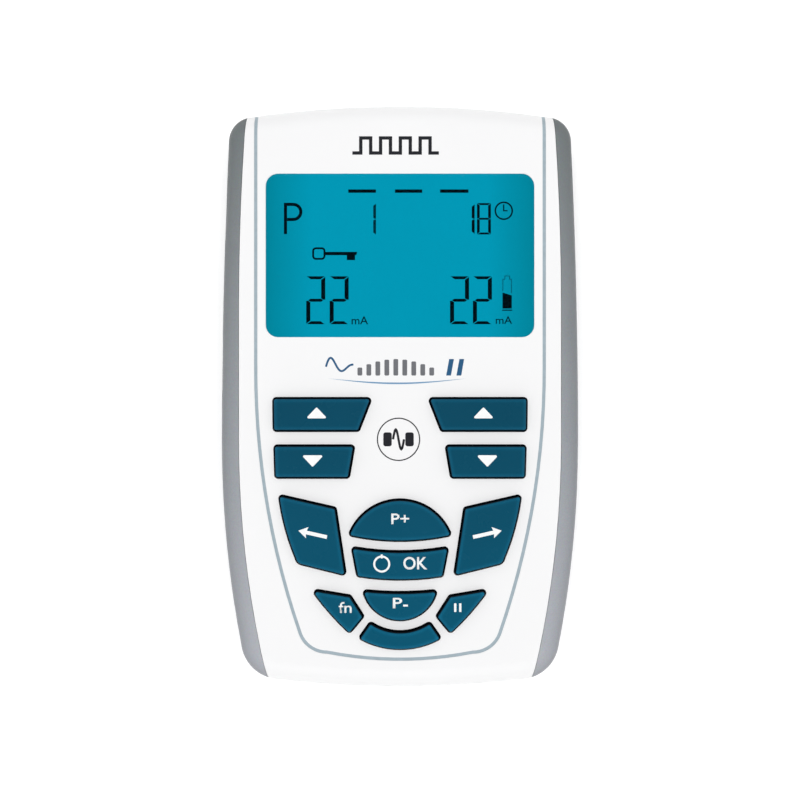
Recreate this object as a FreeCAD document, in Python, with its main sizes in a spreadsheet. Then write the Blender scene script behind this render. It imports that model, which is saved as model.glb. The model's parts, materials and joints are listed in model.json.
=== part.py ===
"""Hand-held two-group muscle and nerve stimulator, built as an assembly of separate pieces.

The part's own frame, in millimetres: it lies on its back on Z = 0 with the origin at the middle of
its footprint, +X to the user's right, +Y to the socket end and +Z out of the front face.
"""
import FreeCAD, Part
import math
import os

import Sketcher

doc = FreeCAD.newDocument("stimulator")
dims = doc.addObject("Spreadsheet::Sheet", "dims")
nodes = {}

DIMENSIONS = {
    # case outline, seen from the front
    "case_width": 98.5,
    "case_length": 160.2,
    "case_depth": 33.0,
    "widest_y": -12.6,
    "side_radius_upper": 1771.0,
    "side_radius_lower": 299.0,
    "end_radius": 285.0,
    "top_corner_x": 47.0,
    "bottom_corner_x": 42.17,
    "top_corner_round": 6.8,
    "bottom_corner_round": 10.9,
    "rim_round": 5.8,
    # case walls
    "wall": 2.6,
    "grip_skin": 1.2,
    "seam": 0.12,
    "split_z": 15.0,
    # edge between the white face and the side grips
    "border_x": 44.05,
    "border_top_y": 24.9,
    "border_bottom_y": -11.9,
    "border_upper_radius": 690.0,
    "border_lower_radius": 279.0,
    # decorative groove round the face
    "groove_x": 39.8,
    "groove_straight_y": 8.57,
    "groove_side_radius": 221.0,
    "groove_low_x": 27.6,
    "groove_low_y": -64.9,
    "groove_end_x": 19.9,
    "groove_end_y": -70.2,
    "groove_corner_radius": 8.2,
    "groove_end_radius": 104.0,
    "groove_width": 0.9,
    "groove_depth": 0.25,
    # display
    "window_y": 38.48,
    "window_width": 73.5,
    "window_height": 44.85,
    "window_round": 3.5,
    "lens_gap": 0.1,
    "lens_recess": 0.3,
    "lens_flange": 1.4,
    "lens_flange_thickness": 1.1,
    "glass_width": 76.0,
    "glass_height": 47.0,
    "glass_thickness": 1.8,
    "frame_wall": 1.15,
    "frame_height": 3.8,
    "backlight_width": 72.0,
    "backlight_height": 41.0,
    "backlight_thickness": 1.6,
    "zebra_width": 1.6,
    "zebra_offset": 22.3,
    # keys
    "key_top_z": 35.3,
    "key_gap": 0.55,
    "key_round": 0.6,
    "key_edge_round": 0.55,
    "key_flange": 0.6,
    "key_flange_thickness": 1.1,
    "key_clearance": 0.1,
    "contact_gap": 1.1,
    "stem_radius": 2.1,
    "pill_radius": 1.9,
    "pill_thickness": 0.6,
    "mat_thickness": 1.0,
    "mat_opening_radius": 2.8,
    "mat_half_width": 37.0,
    "mat_top_y": 3.0,
    "mat_bottom_y": -66.0,
    "mat_slope": 21.0,
    "mat_slope_x": 37.5,
    "mat_slope_y": -40.0,
    "mat_slope_length": 80.0,
    "mat_slope_width": 40.0,
    # circuit board
    "board_top_y": 66.5,
    "hole_clearance": 0.5,
    "board_top_z": 25.5,
    "board_thickness": 1.6,
    "board_inset": 4.0,
    "post_radius": 2.0,
    "post_bore_radius": 1.0,
    "post_bore_depth": 3.5,
    "board_screw_radius": 0.95,
    "board_screw_head_radius": 1.9,
    "board_screw_head": 1.5,
    "board_screw_length": 4.5,
    # case screws
    "boss_radius": 3.2,
    "boss_bore_radius": 1.45,
    "screw_radius": 1.4,
    "screw_head_radius": 2.6,
    "screw_head": 2.0,
    "screw_recess_radius": 2.9,
    "screw_recess": 6.0,
    "screw_length": 16.0,
    "cross_reach": 0.55,
    "cross_half_width": 0.35,
    # battery bay and cover
    "cover_half_width": 26.4,
    "cover_top_y": 22.0,
    "cover_thickness": 2.2,
    "cover_gap": 0.2,
    "rail_lip": 1.6,
    "rail_bottom_z": 2.9,
    "rail_top_z": 3.7,
    "rail_wall": 1.6,
    "rail_play": 0.3,
    "finger_slot_half_length": 11.0,
    "finger_slot_width": 1.2,
    "finger_slot_pitch": 2.4,
    "finger_slot_first_y": 12.0,
    "finger_slot_depth": 0.6,
    "bay_half_width": 28.6,
    "bay_wall": 1.4,
    "bay_bottom_y": -70.5,
    "bay_top_y": 18.8,
    "bay_ceiling_z": 20.9,
    "bay_ceiling": 1.1,
    "cell_radius": 8.2,
    "cell_length": 43.0,
    "cell_pitch": 16.8,
    "pack_half_height": 8.4,
    "pack_y": -26.0,
    "pack_z": 12.5,
    "cell_gap": 0.6,
    "sleeve_end": 1.0,
    # battery leads and their connector
    "wire_radius": 0.8,
    "wire_bend_y": 27.0,
    "wire_bend_radius": 4.0,
    "wire_red_x": 7.5,
    "wire_black_x": 12.5,
    "wire_slot_half_width": 6.0,
    "wire_slot_half_height": 3.0,
    "connector_x": 10.0,
    "connector_y": 31.0,
    "connector_width": 11.0,
    "connector_length": 6.4,
    "connector_height": 6.0,
    # recess for the rating label
    "label_width": 46.0,
    "label_bottom_y": 34.0,
    "label_top_y": 60.0,
    "label_recess": 0.3,
    # sockets in the top end
    "socket_x": 18.0,
    "socket_z": 19.2,
    "socket_bore_radius": 1.775,
    "socket_depth": 14.0,
    "collar_radius": 4.0,
    "collar_gap": 0.1,
    "socket_face_y": 79.3,
    "socket_body_length": 14.0,
    "socket_body_width": 11.0,
    "socket_body_height": 9.4,
    "socket_body_setback": 3.4,
    "collar_length": 4.4,
    "collar_hole_length": 10.0,
    "jack_collar_radius": 4.2,
    "jack_bore_radius": 2.75,
    "jack_pin_radius": 1.0,
    "jack_depth": 9.5,
    "jack_pin_setback": 1.5,
    # larger components under the circuit board
    "transformer_x": 27.0,
    "transformer_y": 50.0,
    "core_length": 17.0,
    "core_width": 18.0,
    "core_height": 15.0,
    "core_leg": 2.5,
    "winding_radius": 6.0,
    "winding_length": 12.0,
    "can_radius": 4.8,
    "can_height": 15.5,
    "can_pitch": 11.0,
    "can_y": 44.0,
    "buzzer_x": -14.0,
    "buzzer_y": 30.0,
    "buzzer_radius": 6.0,
    "buzzer_height": 7.0,
    "controller_x": -15.0,
    "controller_y": -10.0,
    "controller_width": 12.0,
    "controller_height": 1.4,
    "driver_y": 25.5,
    "driver_width": 6.4,
    "driver_length": 6.0,
    "driver_height": 2.3,
}

# Key openings: corners in turn, each with the radius of the edge that follows it. A positive radius
# bulges outward, a negative one inward, and None is a straight edge.
KEY_OUTLINES = {
    "up": [(7.28, -0.13, None), (11.04, -9.72, None), (34.77, -9.72, None), (34.88, -0.13, None)],
    "down": [(12.06, -13.05, None), (13.67, -22.49, None), (34.33, -22.49, None), (34.6, -13.05, None)],
    "arrow": [(17.25, -30.1, None), (14.35, -49.25, None), (26.95, -46.1, 2.4), (28.75, -44.2, 65.0),
              (33.4, -26.4, None)],
    "plus": [(-14.4, -38.1, 65.0), (14.4, -38.1, 15.2)],
    "enter": [(-13.6, -40.6, None), (-11.9, -49.3, 73.0), (11.9, -49.3, None), (13.6, -40.6, -73.0)],
    "minus": [(-10.5, -52.4, 10.63), (10.5, -52.4, -90.0)],
    "side": [(13.35, -54.0, None), (9.5, -59.95, None), (13.7, -65.0, 75.0), (24.95, -52.05, None)],
    "blank": [(-8.15, -61.0, None), (-11.65, -66.0, 22.8), (11.65, -66.0, None), (8.15, -61.0, -13.6)],
}
# Key name, outline, 1 for the right-hand side or -1 for its mirror image, and the stem's place.
KEYS = [
    ("key_up_left", "up", -1, 22.5, -4.7),
    ("key_up_right", "up", 1, 22.5, -4.7),
    ("key_down_left", "down", -1, 23.8, -17.5),
    ("key_down_right", "down", 1, 23.8, -17.5),
    ("key_arrow_left", "arrow", -1, 23.3, -37.8),
    ("key_arrow_right", "arrow", 1, 23.3, -37.8),
    ("key_program_plus", "plus", 1, 0.0, -34.3),
    ("key_ok", "enter", 1, 0.0, -45.6),
    ("key_program_minus", "minus", 1, 0.0, -56.2),
    ("key_fn", "side", -1, 15.3, -58.2),
    ("key_pause", "side", 1, 15.3, -58.2),
    ("key_blank", "blank", 1, 0.0, -66.3),
]
CASE_SCREW_PLACES = [(36.0, 69.0), (-36.0, 69.0), (34.6, -62.0), (-34.6, -62.0)]
BOARD_SCREW_PLACES = [(41.5, 50.0), (-41.5, 50.0), (41.5, 6.0), (-41.5, 6.0), (39.0, -45.0), (-39.0, -45.0)]
DRIVER_PLACES_X = [-36.8, -28.8, 27.2, 35.2]
FINGER_SLOTS = 5
# Farther from the middle than any part of the case, and more than any cut needs beyond a surface.
FAR = 95.0


def fill_sheet():
    """Writes every driving dimension to its own cell, with its name as the alias."""
    table = dict(DIMENSIONS)
    for shape, corners in KEY_OUTLINES.items():
        for index, (x, y, radius) in enumerate(corners, start=1):
            table["%s_x_%d" % (shape, index)] = x
            table["%s_y_%d" % (shape, index)] = y
            if radius is not None:
                table["%s_radius_%d" % (shape, index)] = abs(radius)
    for row, (alias, amount) in enumerate(table.items(), start=1):
        dims.set("A%d" % row, alias)
        dims.set("B%d" % row, str(amount))
        dims.setAlias("B%d" % row, alias)
    doc.recompute()


def number(expression):
    """The present value of an expression in the sheet's names."""
    return float(dims.evalExpression(str(expression)))


def bind(thing, **expressions):
    """Binds properties to expressions; x, y and z mean the place of the object."""
    for key, expression in expressions.items():
        path = "Placement.Base.%s" % key if key in "xyz" else key
        thing.setExpression(path, str(expression))
    return thing


def block(name, low, high):
    """A box between two corners, each given as three expressions."""
    box = doc.addObject("Part::Box", name)
    sizes = ["(%s) - (%s)" % (upper, lower) for lower, upper in zip(low, high)]
    bind(box, Length=sizes[0], Width=sizes[1], Height=sizes[2], x=low[0], y=low[1], z=low[2])
    return box


def rod(name, radius, length, place, axis="z"):
    """A cylinder that starts at a place and runs along the given axis."""
    cylinder = doc.addObject("Part::Cylinder", name)
    turns = {"x": ((0, 1, 0), 90), "y": ((1, 0, 0), -90), "z": ((0, 0, 1), 0)}
    direction, angle = turns[axis]
    cylinder.Placement.Rotation = FreeCAD.Rotation(FreeCAD.Vector(*direction), angle)
    bind(cylinder, Radius=radius, Height=length, x=place[0], y=place[1], z=place[2])
    return cylinder


def fuse(name, pieces):
    """One solid from several that touch or overlap."""
    if len(pieces) == 1:
        return pieces[0]
    result = doc.addObject("Part::MultiFuse", name)
    result.Shapes = pieces
    return result


def group(name, pieces):
    """Several separate solids in one object."""
    result = doc.addObject("Part::Compound", name)
    result.Links = pieces
    return result


def cut(name, base, tools):
    """The base less every tool."""
    result = doc.addObject("Part::Cut", name)
    result.Base = base
    result.Tool = fuse(name + "_tools", tools)
    return result


def common(name, first, second):
    """Where two solids overlap."""
    result = doc.addObject("Part::Common", name)
    result.Base = first
    result.Tool = second
    return result


def shrink(name, source, distance):
    """The source with every face moved inward."""
    result = doc.addObject("Part::Offset", name)
    result.Source = source
    bind(result, Value="-(%s)" % distance)
    return result


def widen(name, source, distance):
    """A flat outline moved outward, with round corners, or inward for a negative distance."""
    result = doc.addObject("Part::Offset2D", name)
    result.Source = source
    bind(result, Value=distance)
    return result


def extrude(name, outline, bottom, top):
    """A solid from a flat outline, between two heights."""
    result = doc.addObject("Part::Extrusion", name)
    result.Base = outline
    result.DirMode = "Custom"
    result.Dir = (0, 0, 1)
    result.Solid = True
    bind(result, LengthFwd=top, LengthRev="-(%s)" % bottom)
    return result


def keep(name, thing):
    """Makes an object one of the finished sub-parts."""
    thing.Label = name
    nodes[name] = thing
    return thing


def arc_between(start, end, radius, centre_side):
    """An arc of a circle under half a turn, with its centre left (1) or right (-1) of the way."""
    chord = end - start
    left = FreeCAD.Vector(-chord.y, chord.x, 0).normalize()
    height = math.sqrt(radius ** 2 - (chord.Length / 2) ** 2)
    centre = (start + end) * 0.5 + left * height * centre_side
    first, last = (start, end) if centre_side > 0 else (end, start)
    from_angle = math.atan2(first.y - centre.y, first.x - centre.x)
    to_angle = math.atan2(last.y - centre.y, last.x - centre.x)
    return Part.ArcOfCircle(Part.Circle(centre, FreeCAD.Vector(0, 0, 1), radius), from_angle, to_angle)


def draw(sketch, corners):
    """Draws a closed outline and ties every corner and radius to the sheet.

    A corner is (x, y, radius, side) in expressions: the edge after it is straight when the radius is
    None, and otherwise an arc whose centre is left (1) or right (-1) of the way round.
    """
    points = [FreeCAD.Vector(number(x), number(y), 0) for x, y, _, _ in corners]
    ends = []
    for index, (_, _, radius, side) in enumerate(corners):
        start, end = points[index], points[(index + 1) % len(points)]
        if radius is None:
            sketch.addGeometry(Part.LineSegment(start, end))
        else:
            sketch.addGeometry(arc_between(start, end, number(radius), side))
        ends.append((2, 1) if radius is not None and side < 0 else (1, 2))
    for index, (x, y, radius, _) in enumerate(corners):
        before = index - 1 if index else len(corners) - 1
        start = ends[index][0]
        sketch.addConstraint(Sketcher.Constraint("Coincident", index, start, before, ends[before][1]))
        tie(sketch, "DistanceX", "x_%d" % index, x, (-1, 1, index, start))
        tie(sketch, "DistanceY", "y_%d" % index, y, (-1, 1, index, start))
        if radius is not None:
            tie(sketch, "Radius", "radius_%d" % index, radius, (index,))
    return sketch


def tie(sketch, kind, name, expression, geometry):
    """Adds one sketch dimension and binds it to an expression."""
    place = sketch.addConstraint(Sketcher.Constraint(kind, *geometry, number(expression)))
    sketch.renameConstraint(place, name)
    sketch.setExpression("Constraints." + name, str(expression))


def new_body(name):
    """A PartDesign body and a sketch on its own XY plane."""
    body = doc.addObject("PartDesign::Body", name)
    sketch = body.newObject("Sketcher::SketchObject", name + "_outline")
    plane = [feature for feature in body.Origin.OriginFeatures if feature.Role == "XY_Plane"][0]
    sketch.AttachmentSupport = [(plane, "")]
    sketch.MapMode = "FlatFace"
    return body, sketch


def round_edges(body, feature, radius, choose):
    """A PartDesign fillet on the edges of a feature that the test picks out."""
    doc.recompute()
    picked = ["Edge%d" % index for index, edge in enumerate(feature.Shape.Edges, start=1) if choose(edge)]
    fillet = body.newObject("PartDesign::Fillet", body.Name + "_round")
    fillet.Base = (feature, picked)
    bind(fillet, Radius=radius)
    doc.recompute()
    return fillet


def is_upright(edge):
    """True for a straight edge along Z."""
    first, last = edge.Vertexes[0].Point, edge.Vertexes[-1].Point
    return abs(first.x - last.x) < 1e-6 and abs(first.y - last.y) < 1e-6 and abs(first.z - last.z) > 1e-6


def is_level(edge, height):
    """True for an edge that lies at one height."""
    return all(abs(vertex.Z - height) < 1e-6 for vertex in edge.Vertexes)


def make_envelope():
    """The outside of the whole case: an outline of six arcs, padded and rounded all round."""
    body, sketch = new_body("envelope")
    side = "dims.case_width / 2"
    reach = "(dims.case_length / 2 - dims.end_radius + sqrt(dims.end_radius ^ 2 - dims.%s_corner_x ^ 2))"
    top = reach % "top"
    bottom = "-" + reach % "bottom"
    draw(sketch, [
        ("dims.top_corner_x", top, "dims.end_radius", 1),
        ("-dims.top_corner_x", top, "dims.side_radius_upper", 1),
        ("-" + side, "dims.widest_y", "dims.side_radius_lower", 1),
        ("-dims.bottom_corner_x", bottom, "dims.end_radius", 1),
        ("dims.bottom_corner_x", bottom, "dims.side_radius_lower", 1),
        (side, "dims.widest_y", "dims.side_radius_upper", 1),
    ])
    pad = body.newObject("PartDesign::Pad", "envelope_pad")
    pad.Profile = sketch
    bind(pad, Length="dims.case_depth")
    corner_y = number("dims.case_length / 4")
    top_rounds = round_edges(body, pad, "dims.top_corner_round",
                             lambda edge: is_upright(edge) and edge.Vertexes[0].Y > corner_y)
    bottom_rounds = round_edges(body, top_rounds, "dims.bottom_corner_round",
                                lambda edge: is_upright(edge) and edge.Vertexes[0].Y < -corner_y
                                and edge.Vertexes[0].Y < number("dims.widest_y") - 1)
    depth = number("dims.case_depth")
    round_edges(body, bottom_rounds, "dims.rim_round",
                lambda edge: is_level(edge, depth) or is_level(edge, 0))
    return body


def grip_zone(name, side, inset):
    """The space outside the border of one grip, right (1) or left (-1)."""
    sketch = doc.addObject("Sketcher::SketchObject", name + "_outline")
    edge = "%d * (dims.border_x - %s)" % (side, inset)
    arc = "%d * (dims.border_x - %s - {0} + sqrt({0} ^ 2 - (%s - ({1})) ^ 2))" % (side, inset, FAR)
    upper = arc.format("dims.border_upper_radius", "dims.border_top_y")
    lower = arc.format("dims.border_lower_radius", "-dims.border_bottom_y")
    draw(sketch, [
        (edge, "dims.border_bottom_y", None, 0),
        (edge, "dims.border_top_y", "dims.border_upper_radius", side),
        (upper, str(FAR), None, 0),
        (str(side * FAR), str(FAR), None, 0),
        (str(side * FAR), str(-FAR), None, 0),
        (lower, str(-FAR), "dims.border_lower_radius", side),
    ])
    return extrude(name, sketch, "-1", "dims.case_depth + 1")


def groove_band():
    """The U-shaped band that the groove follows, full height."""
    sketch = doc.addObject("Sketcher::SketchObject", "groove_outline")
    draw(sketch, [
        ("dims.groove_x", str(FAR), None, 0),
        ("-dims.groove_x", str(FAR), None, 0),
        ("-dims.groove_x", "dims.groove_straight_y", "dims.groove_side_radius", 1),
        ("-dims.groove_low_x", "dims.groove_low_y", "dims.groove_corner_radius", 1),
        ("-dims.groove_end_x", "dims.groove_end_y", "dims.groove_end_radius", 1),
        ("dims.groove_end_x", "dims.groove_end_y", "dims.groove_corner_radius", 1),
        ("dims.groove_low_x", "dims.groove_low_y", "dims.groove_side_radius", 1),
        ("dims.groove_x", "dims.groove_straight_y", None, 0),
    ])
    inside = widen("groove_inside", sketch, "-dims.groove_width")
    bottom = "dims.split_z"
    top = "dims.case_depth + 1"
    return cut("groove_band", extrude("groove_outer", sketch, bottom, top),
               [extrude("groove_inner", inside, "dims.split_z - 1", "dims.case_depth + 2")])


def key_outline(shape, side):
    """The opening of one key, drawn sharp-cornered."""
    name = "%s_%s" % (shape, "right" if side > 0 else "left")
    sketch = doc.addObject("Sketcher::SketchObject", name)
    sign = "" if side > 0 else "-"
    corners = []
    for index, (_, _, radius) in enumerate(KEY_OUTLINES[shape], start=1):
        cell = "dims.%s_radius_%d" % (shape, index) if radius is not None else None
        bulge = side * (1 if (radius or 1) > 0 else -1)
        x = "%sdims.%s_x_%d" % (sign, shape, index)
        corners.append((x, "dims.%s_y_%d" % (shape, index), cell, bulge))
    return draw(sketch, corners)


def build_keys():
    """Twelve keys, each a hard cap with a flange and a stem, with its carbon pill, and their openings."""
    openings = []
    for name, shape, side, stem_x, stem_y in KEYS:
        outline = key_outline(shape, side)
        core = widen(name + "_core", outline, "-(dims.key_gap + dims.key_round)")
        cap_line = widen(name + "_cap_line", core, "dims.key_round")
        opening_line = widen(name + "_opening_line", core, "dims.key_round + dims.key_gap")
        flange_line = widen(name + "_flange_line", core, "dims.key_round + dims.key_gap + dims.key_flange")
        flange_top = "dims.case_depth - dims.wall - dims.key_clearance"
        flange_bottom = "%s - dims.key_flange_thickness" % flange_top
        cap = extrude(name + "_cap", cap_line, flange_bottom, "dims.key_top_z")
        doc.recompute()
        top = number("dims.key_top_z")
        rounded = doc.addObject("Part::Fillet", name + "_rounded")
        rounded.Base = cap
        edge_round = number("dims.key_edge_round")
        rounded.Edges = [(index, edge_round, edge_round)
                         for index, edge in enumerate(cap.Shape.Edges, start=1) if is_level(edge, top)]
        flange = extrude(name + "_flange", flange_line, flange_bottom, flange_top)
        place = (str(side * stem_x), str(stem_y))
        pill_bottom = "dims.board_top_z + dims.contact_gap"
        pill_top = pill_bottom + " + dims.pill_thickness"
        stem = rod(name + "_stem", "dims.stem_radius", "%s - (%s)" % (flange_bottom, pill_top),
                   place + (pill_top,))
        keep(name, fuse(name + "_piece", [rounded, flange, stem]))
        pill = rod(name + "_pill", "dims.pill_radius", "dims.pill_thickness", place + (pill_bottom,))
        keep(name.replace("key_", "pill_"), pill)
        openings.append(extrude(name + "_opening", opening_line, "dims.case_depth - dims.wall - 1",
                                "dims.case_depth + 1"))
    return openings


def build_mat():
    """The silicone sheet under the keys, with an opening at every contact."""
    board = "dims.board_top_z"
    sheet = block("mat_sheet", ("-dims.mat_half_width", "dims.mat_bottom_y", board),
                  ("dims.mat_half_width", "dims.mat_top_y", board + " + dims.mat_thickness"))
    slope_tools = []
    for side, name in ((1, "right"), (-1, "left")):
        slope = block("mat_slope_" + name, ("0", "0", board + " - 1"),
                      ("dims.mat_slope_width", "dims.mat_slope_length", board + " + dims.mat_thickness + 1"))
        quarter = 90 if side > 0 else 0
        angle = 180 + quarter - side * number("dims.mat_slope")
        slope.Placement.Rotation = FreeCAD.Rotation(FreeCAD.Vector(0, 0, 1), angle)
        bind(slope, x="%d * dims.mat_slope_x" % side, y="dims.mat_slope_y", z=board + " - 1")
        slope_tools.append(slope)
    holes = [rod(name + "_mat_hole", "dims.mat_opening_radius", "dims.mat_thickness + 2",
                 (str(side * x), str(y), board + " - 1")) for name, _, side, x, y in KEYS]
    keep("keypad_mat", cut("mat_piece", sheet, slope_tools + holes))


def rounded_plate(name, width, height, round_radius, bottom, top):
    """A plate with round corners, centred on the display."""
    body, sketch = new_body(name)
    half_x = "(%s) / 2" % width
    low = "dims.window_y - (%s) / 2" % height
    high = "dims.window_y + (%s) / 2" % height
    draw(sketch, [
        ("-" + half_x, low, None, 0),
        (half_x, low, None, 0),
        (half_x, high, None, 0),
        ("-" + half_x, high, None, 0),
    ])
    bind(sketch, **{"AttachmentOffset.Base.z": bottom})
    pad = body.newObject("PartDesign::Pad", name + "_pad")
    pad.Profile = sketch
    bind(pad, Length="(%s) - (%s)" % (top, bottom))
    round_edges(body, pad, round_radius, is_upright)
    return body


def build_display():
    """Lens, glass, frame, backlight and the two rubber connector strips."""
    face = "dims.case_depth"
    inside = "dims.case_depth - dims.wall"
    flange_bottom = "%s - dims.lens_flange_thickness" % inside
    board = "dims.board_top_z"
    front = rounded_plate("lens_front", "dims.window_width - 2 * dims.lens_gap",
                          "dims.window_height - 2 * dims.lens_gap", "dims.window_round - dims.lens_gap",
                          flange_bottom, face + " - dims.lens_recess")
    flange = rounded_plate("lens_flange", "dims.window_width + 2 * dims.lens_flange",
                           "dims.window_height + 2 * dims.lens_flange", "dims.window_round",
                           flange_bottom, inside)
    keep("display_lens", fuse("lens_piece", [front, flange]))
    frame_top = board + " + dims.frame_height"
    glass_top = frame_top + " - 0.2"
    glass_bottom = glass_top + " - dims.glass_thickness"
    keep("lcd_glass", plate("glass_piece", "dims.glass_width", "dims.glass_height", glass_bottom, glass_top))
    outer = plate("frame_outer", "dims.glass_width + 2 * dims.frame_wall + 0.1",
                  "dims.glass_height + 2 * dims.frame_wall + 0.1", board, frame_top)
    inner = plate("frame_inner", "dims.glass_width + 0.1", "dims.glass_height + 0.1", board + " - 1",
                  frame_top + " + 1")
    keep("lcd_frame", cut("frame_piece", outer, [inner]))
    keep("backlight_panel", plate("backlight_piece", "dims.backlight_width", "dims.backlight_height",
                                  board, board + " + dims.backlight_thickness"))
    strips = [block("zebra_%d" % (side + 2),
                    ("-dims.backlight_width / 2",
                     "dims.window_y + %d * dims.zebra_offset - dims.zebra_width / 2" % side, board),
                    ("dims.backlight_width / 2",
                     "dims.window_y + %d * dims.zebra_offset + dims.zebra_width / 2" % side, glass_bottom))
              for side in (-1, 1)]
    keep("zebra_strips", group("zebra_group", strips))


def plate(name, width, height, bottom, top):
    """A square-cornered plate centred on the display."""
    half_x = "(%s) / 2" % width
    half_y = "(%s) / 2" % height
    return block(name, ("-" + half_x, "dims.window_y - " + half_y, bottom),
                 (half_x, "dims.window_y + " + half_y, top))


def build_sockets():
    """The two electrode-lead sockets and the charger jack, and the holes that their collars pass."""
    body_top = "dims.board_top_z - dims.board_thickness"
    holes = []
    for side, name in ((-1, "lead_socket_left"), (1, "lead_socket_right")):
        x = "%d * dims.socket_x" % side
        keep(name, socket(name, x, "dims.collar_radius", "dims.socket_bore_radius", "dims.socket_depth",
                          body_top))
        holes.append(collar_hole(name, x, "dims.collar_radius"))
    jack = socket("charger_jack", "0", "dims.jack_collar_radius", "dims.jack_bore_radius", "dims.jack_depth",
                  body_top)
    pin = rod("jack_pin", "dims.jack_pin_radius", "dims.jack_depth - dims.jack_pin_setback",
              ("0", "dims.socket_face_y - dims.jack_depth", "dims.socket_z"), "y")
    keep("charger_jack", fuse("jack_piece", [jack, pin]))
    holes.append(collar_hole("charger_jack", "0", "dims.jack_collar_radius"))
    return holes


def socket(name, x, collar_radius, bore_radius, depth, body_top):
    """A block under the circuit board with a round collar and a bore along Y."""
    front = "dims.socket_face_y - dims.socket_body_setback"
    housing = block(name + "_block",
                    (x + " - dims.socket_body_width / 2", front + " - dims.socket_body_length",
                     body_top + " - dims.socket_body_height"),
                    (x + " + dims.socket_body_width / 2", front, body_top))
    collar = rod(name + "_collar", collar_radius, "dims.collar_length",
                 (x, "dims.socket_face_y - dims.collar_length", "dims.socket_z"), "y")
    bore = rod(name + "_bore", bore_radius, depth + " + 1",
               (x, "dims.socket_face_y - (%s)" % depth, "dims.socket_z"), "y")
    return cut(name + "_bored", fuse(name + "_solid", [housing, collar]), [bore])


def collar_hole(name, x, collar_radius):
    """The hole in the top end for one collar."""
    return rod(name + "_hole", collar_radius + " + dims.collar_gap", "dims.collar_hole_length",
               (x, "dims.case_length / 2 + 2 - dims.collar_hole_length", "dims.socket_z"), "y")


def build_grips(envelope, skin_core):
    """The two silver side grips: skins let into both halves of the case."""
    for side, name in ((-1, "left_grip"), (1, "right_grip")):
        zone = grip_zone(name + "_zone", side, "0")
        outer = common(name + "_outer", envelope, zone)
        keep(name, cut(name + "_piece", outer, [skin_core]))


def half_case(name, envelope, skin_core, cavity, bottom, top):
    """One half of the case: the wall between two heights, thinner where a grip is let in."""
    slab = block(name + "_slab", (str(-FAR), str(-FAR), bottom), (str(FAR), str(FAR), top))
    outer = common(name + "_outer", envelope, slab)
    middle = cut(name + "_wall", outer, [cavity])
    sides = [grip_zone(name + "_side_%d" % (side + 2), side, "dims.seam") for side in (-1, 1)]
    recess = cut(name + "_recess", fuse(name + "_sides", sides), [skin_core])
    return cut(name + "_half", middle, [recess])


def build_front_shell(envelope, skin_core, cavity, key_openings, socket_holes):
    """The front half with its window, key openings, groove, screw bosses and board posts."""
    seam_top = "dims.split_z + dims.seam"
    half = half_case("front", envelope, skin_core, cavity, seam_top, "dims.case_depth + 1")
    face_inside = "dims.case_depth - dims.wall + 1"
    added = [half]
    removed = list(key_openings) + list(socket_holes)
    for index, (x, y) in enumerate(CASE_SCREW_PLACES):
        added.append(rod("front_boss_%d" % index, "dims.boss_radius", "%s - (%s)" % (face_inside, seam_top),
                         (str(x), str(y), seam_top)))
        removed.append(rod("front_boss_bore_%d" % index, "dims.boss_bore_radius", "dims.screw_length",
                           (str(x), str(y), "dims.split_z - 5")))
    for index, (x, y) in enumerate(BOARD_SCREW_PLACES):
        added.append(rod("post_%d" % index, "dims.post_radius", face_inside + " - dims.board_top_z",
                         (str(x), str(y), "dims.board_top_z")))
        removed.append(rod("post_bore_%d" % index, "dims.post_bore_radius", "dims.post_bore_depth + 0.5",
                           (str(x), str(y), "dims.board_top_z - 0.5")))
    window = rounded_plate("window", "dims.window_width", "dims.window_height", "dims.window_round",
                           "dims.case_depth - dims.wall - 1", "dims.case_depth + 1")
    groove_core = shrink("groove_core", envelope, "dims.groove_depth")
    groove = cut("groove", groove_band(), [groove_core])
    keep("front_shell", cut("front_piece", fuse("front_solid", added), removed + [window, groove]))


def build_rear_shell(envelope, skin_core, cavity):
    """The rear half with the battery bay, the cover's slot and the recessed screw holes."""
    half = half_case("rear", envelope, skin_core, cavity, "-1", "dims.split_z")
    floor = "dims.wall - 0.5"
    outer_x = "dims.bay_half_width + dims.bay_wall"
    bay_low = ("-(%s)" % outer_x, "dims.bay_bottom_y - dims.bay_wall", floor)
    bay_high = (outer_x, "dims.bay_top_y + dims.bay_wall", "dims.bay_ceiling_z + dims.bay_ceiling")
    added = [half, block("bay_box", bay_low, bay_high)]
    removed = bay_spaces()
    for index, (x, y) in enumerate(CASE_SCREW_PLACES):
        added.append(rod("rear_boss_%d" % index, "dims.screw_recess_radius + 0.9",
                         "dims.split_z - (%s)" % floor, (str(x), str(y), floor)))
        removed.append(rod("rear_recess_%d" % index, "dims.screw_recess_radius", "dims.screw_recess + 1",
                           (str(x), str(y), "-1")))
        removed.append(rod("rear_hole_%d" % index, "dims.boss_bore_radius + 0.1", "dims.split_z",
                           (str(x), str(y), "1")))
    keep("rear_shell", cut("rear_piece", fuse("rear_solid", added), removed))


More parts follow.
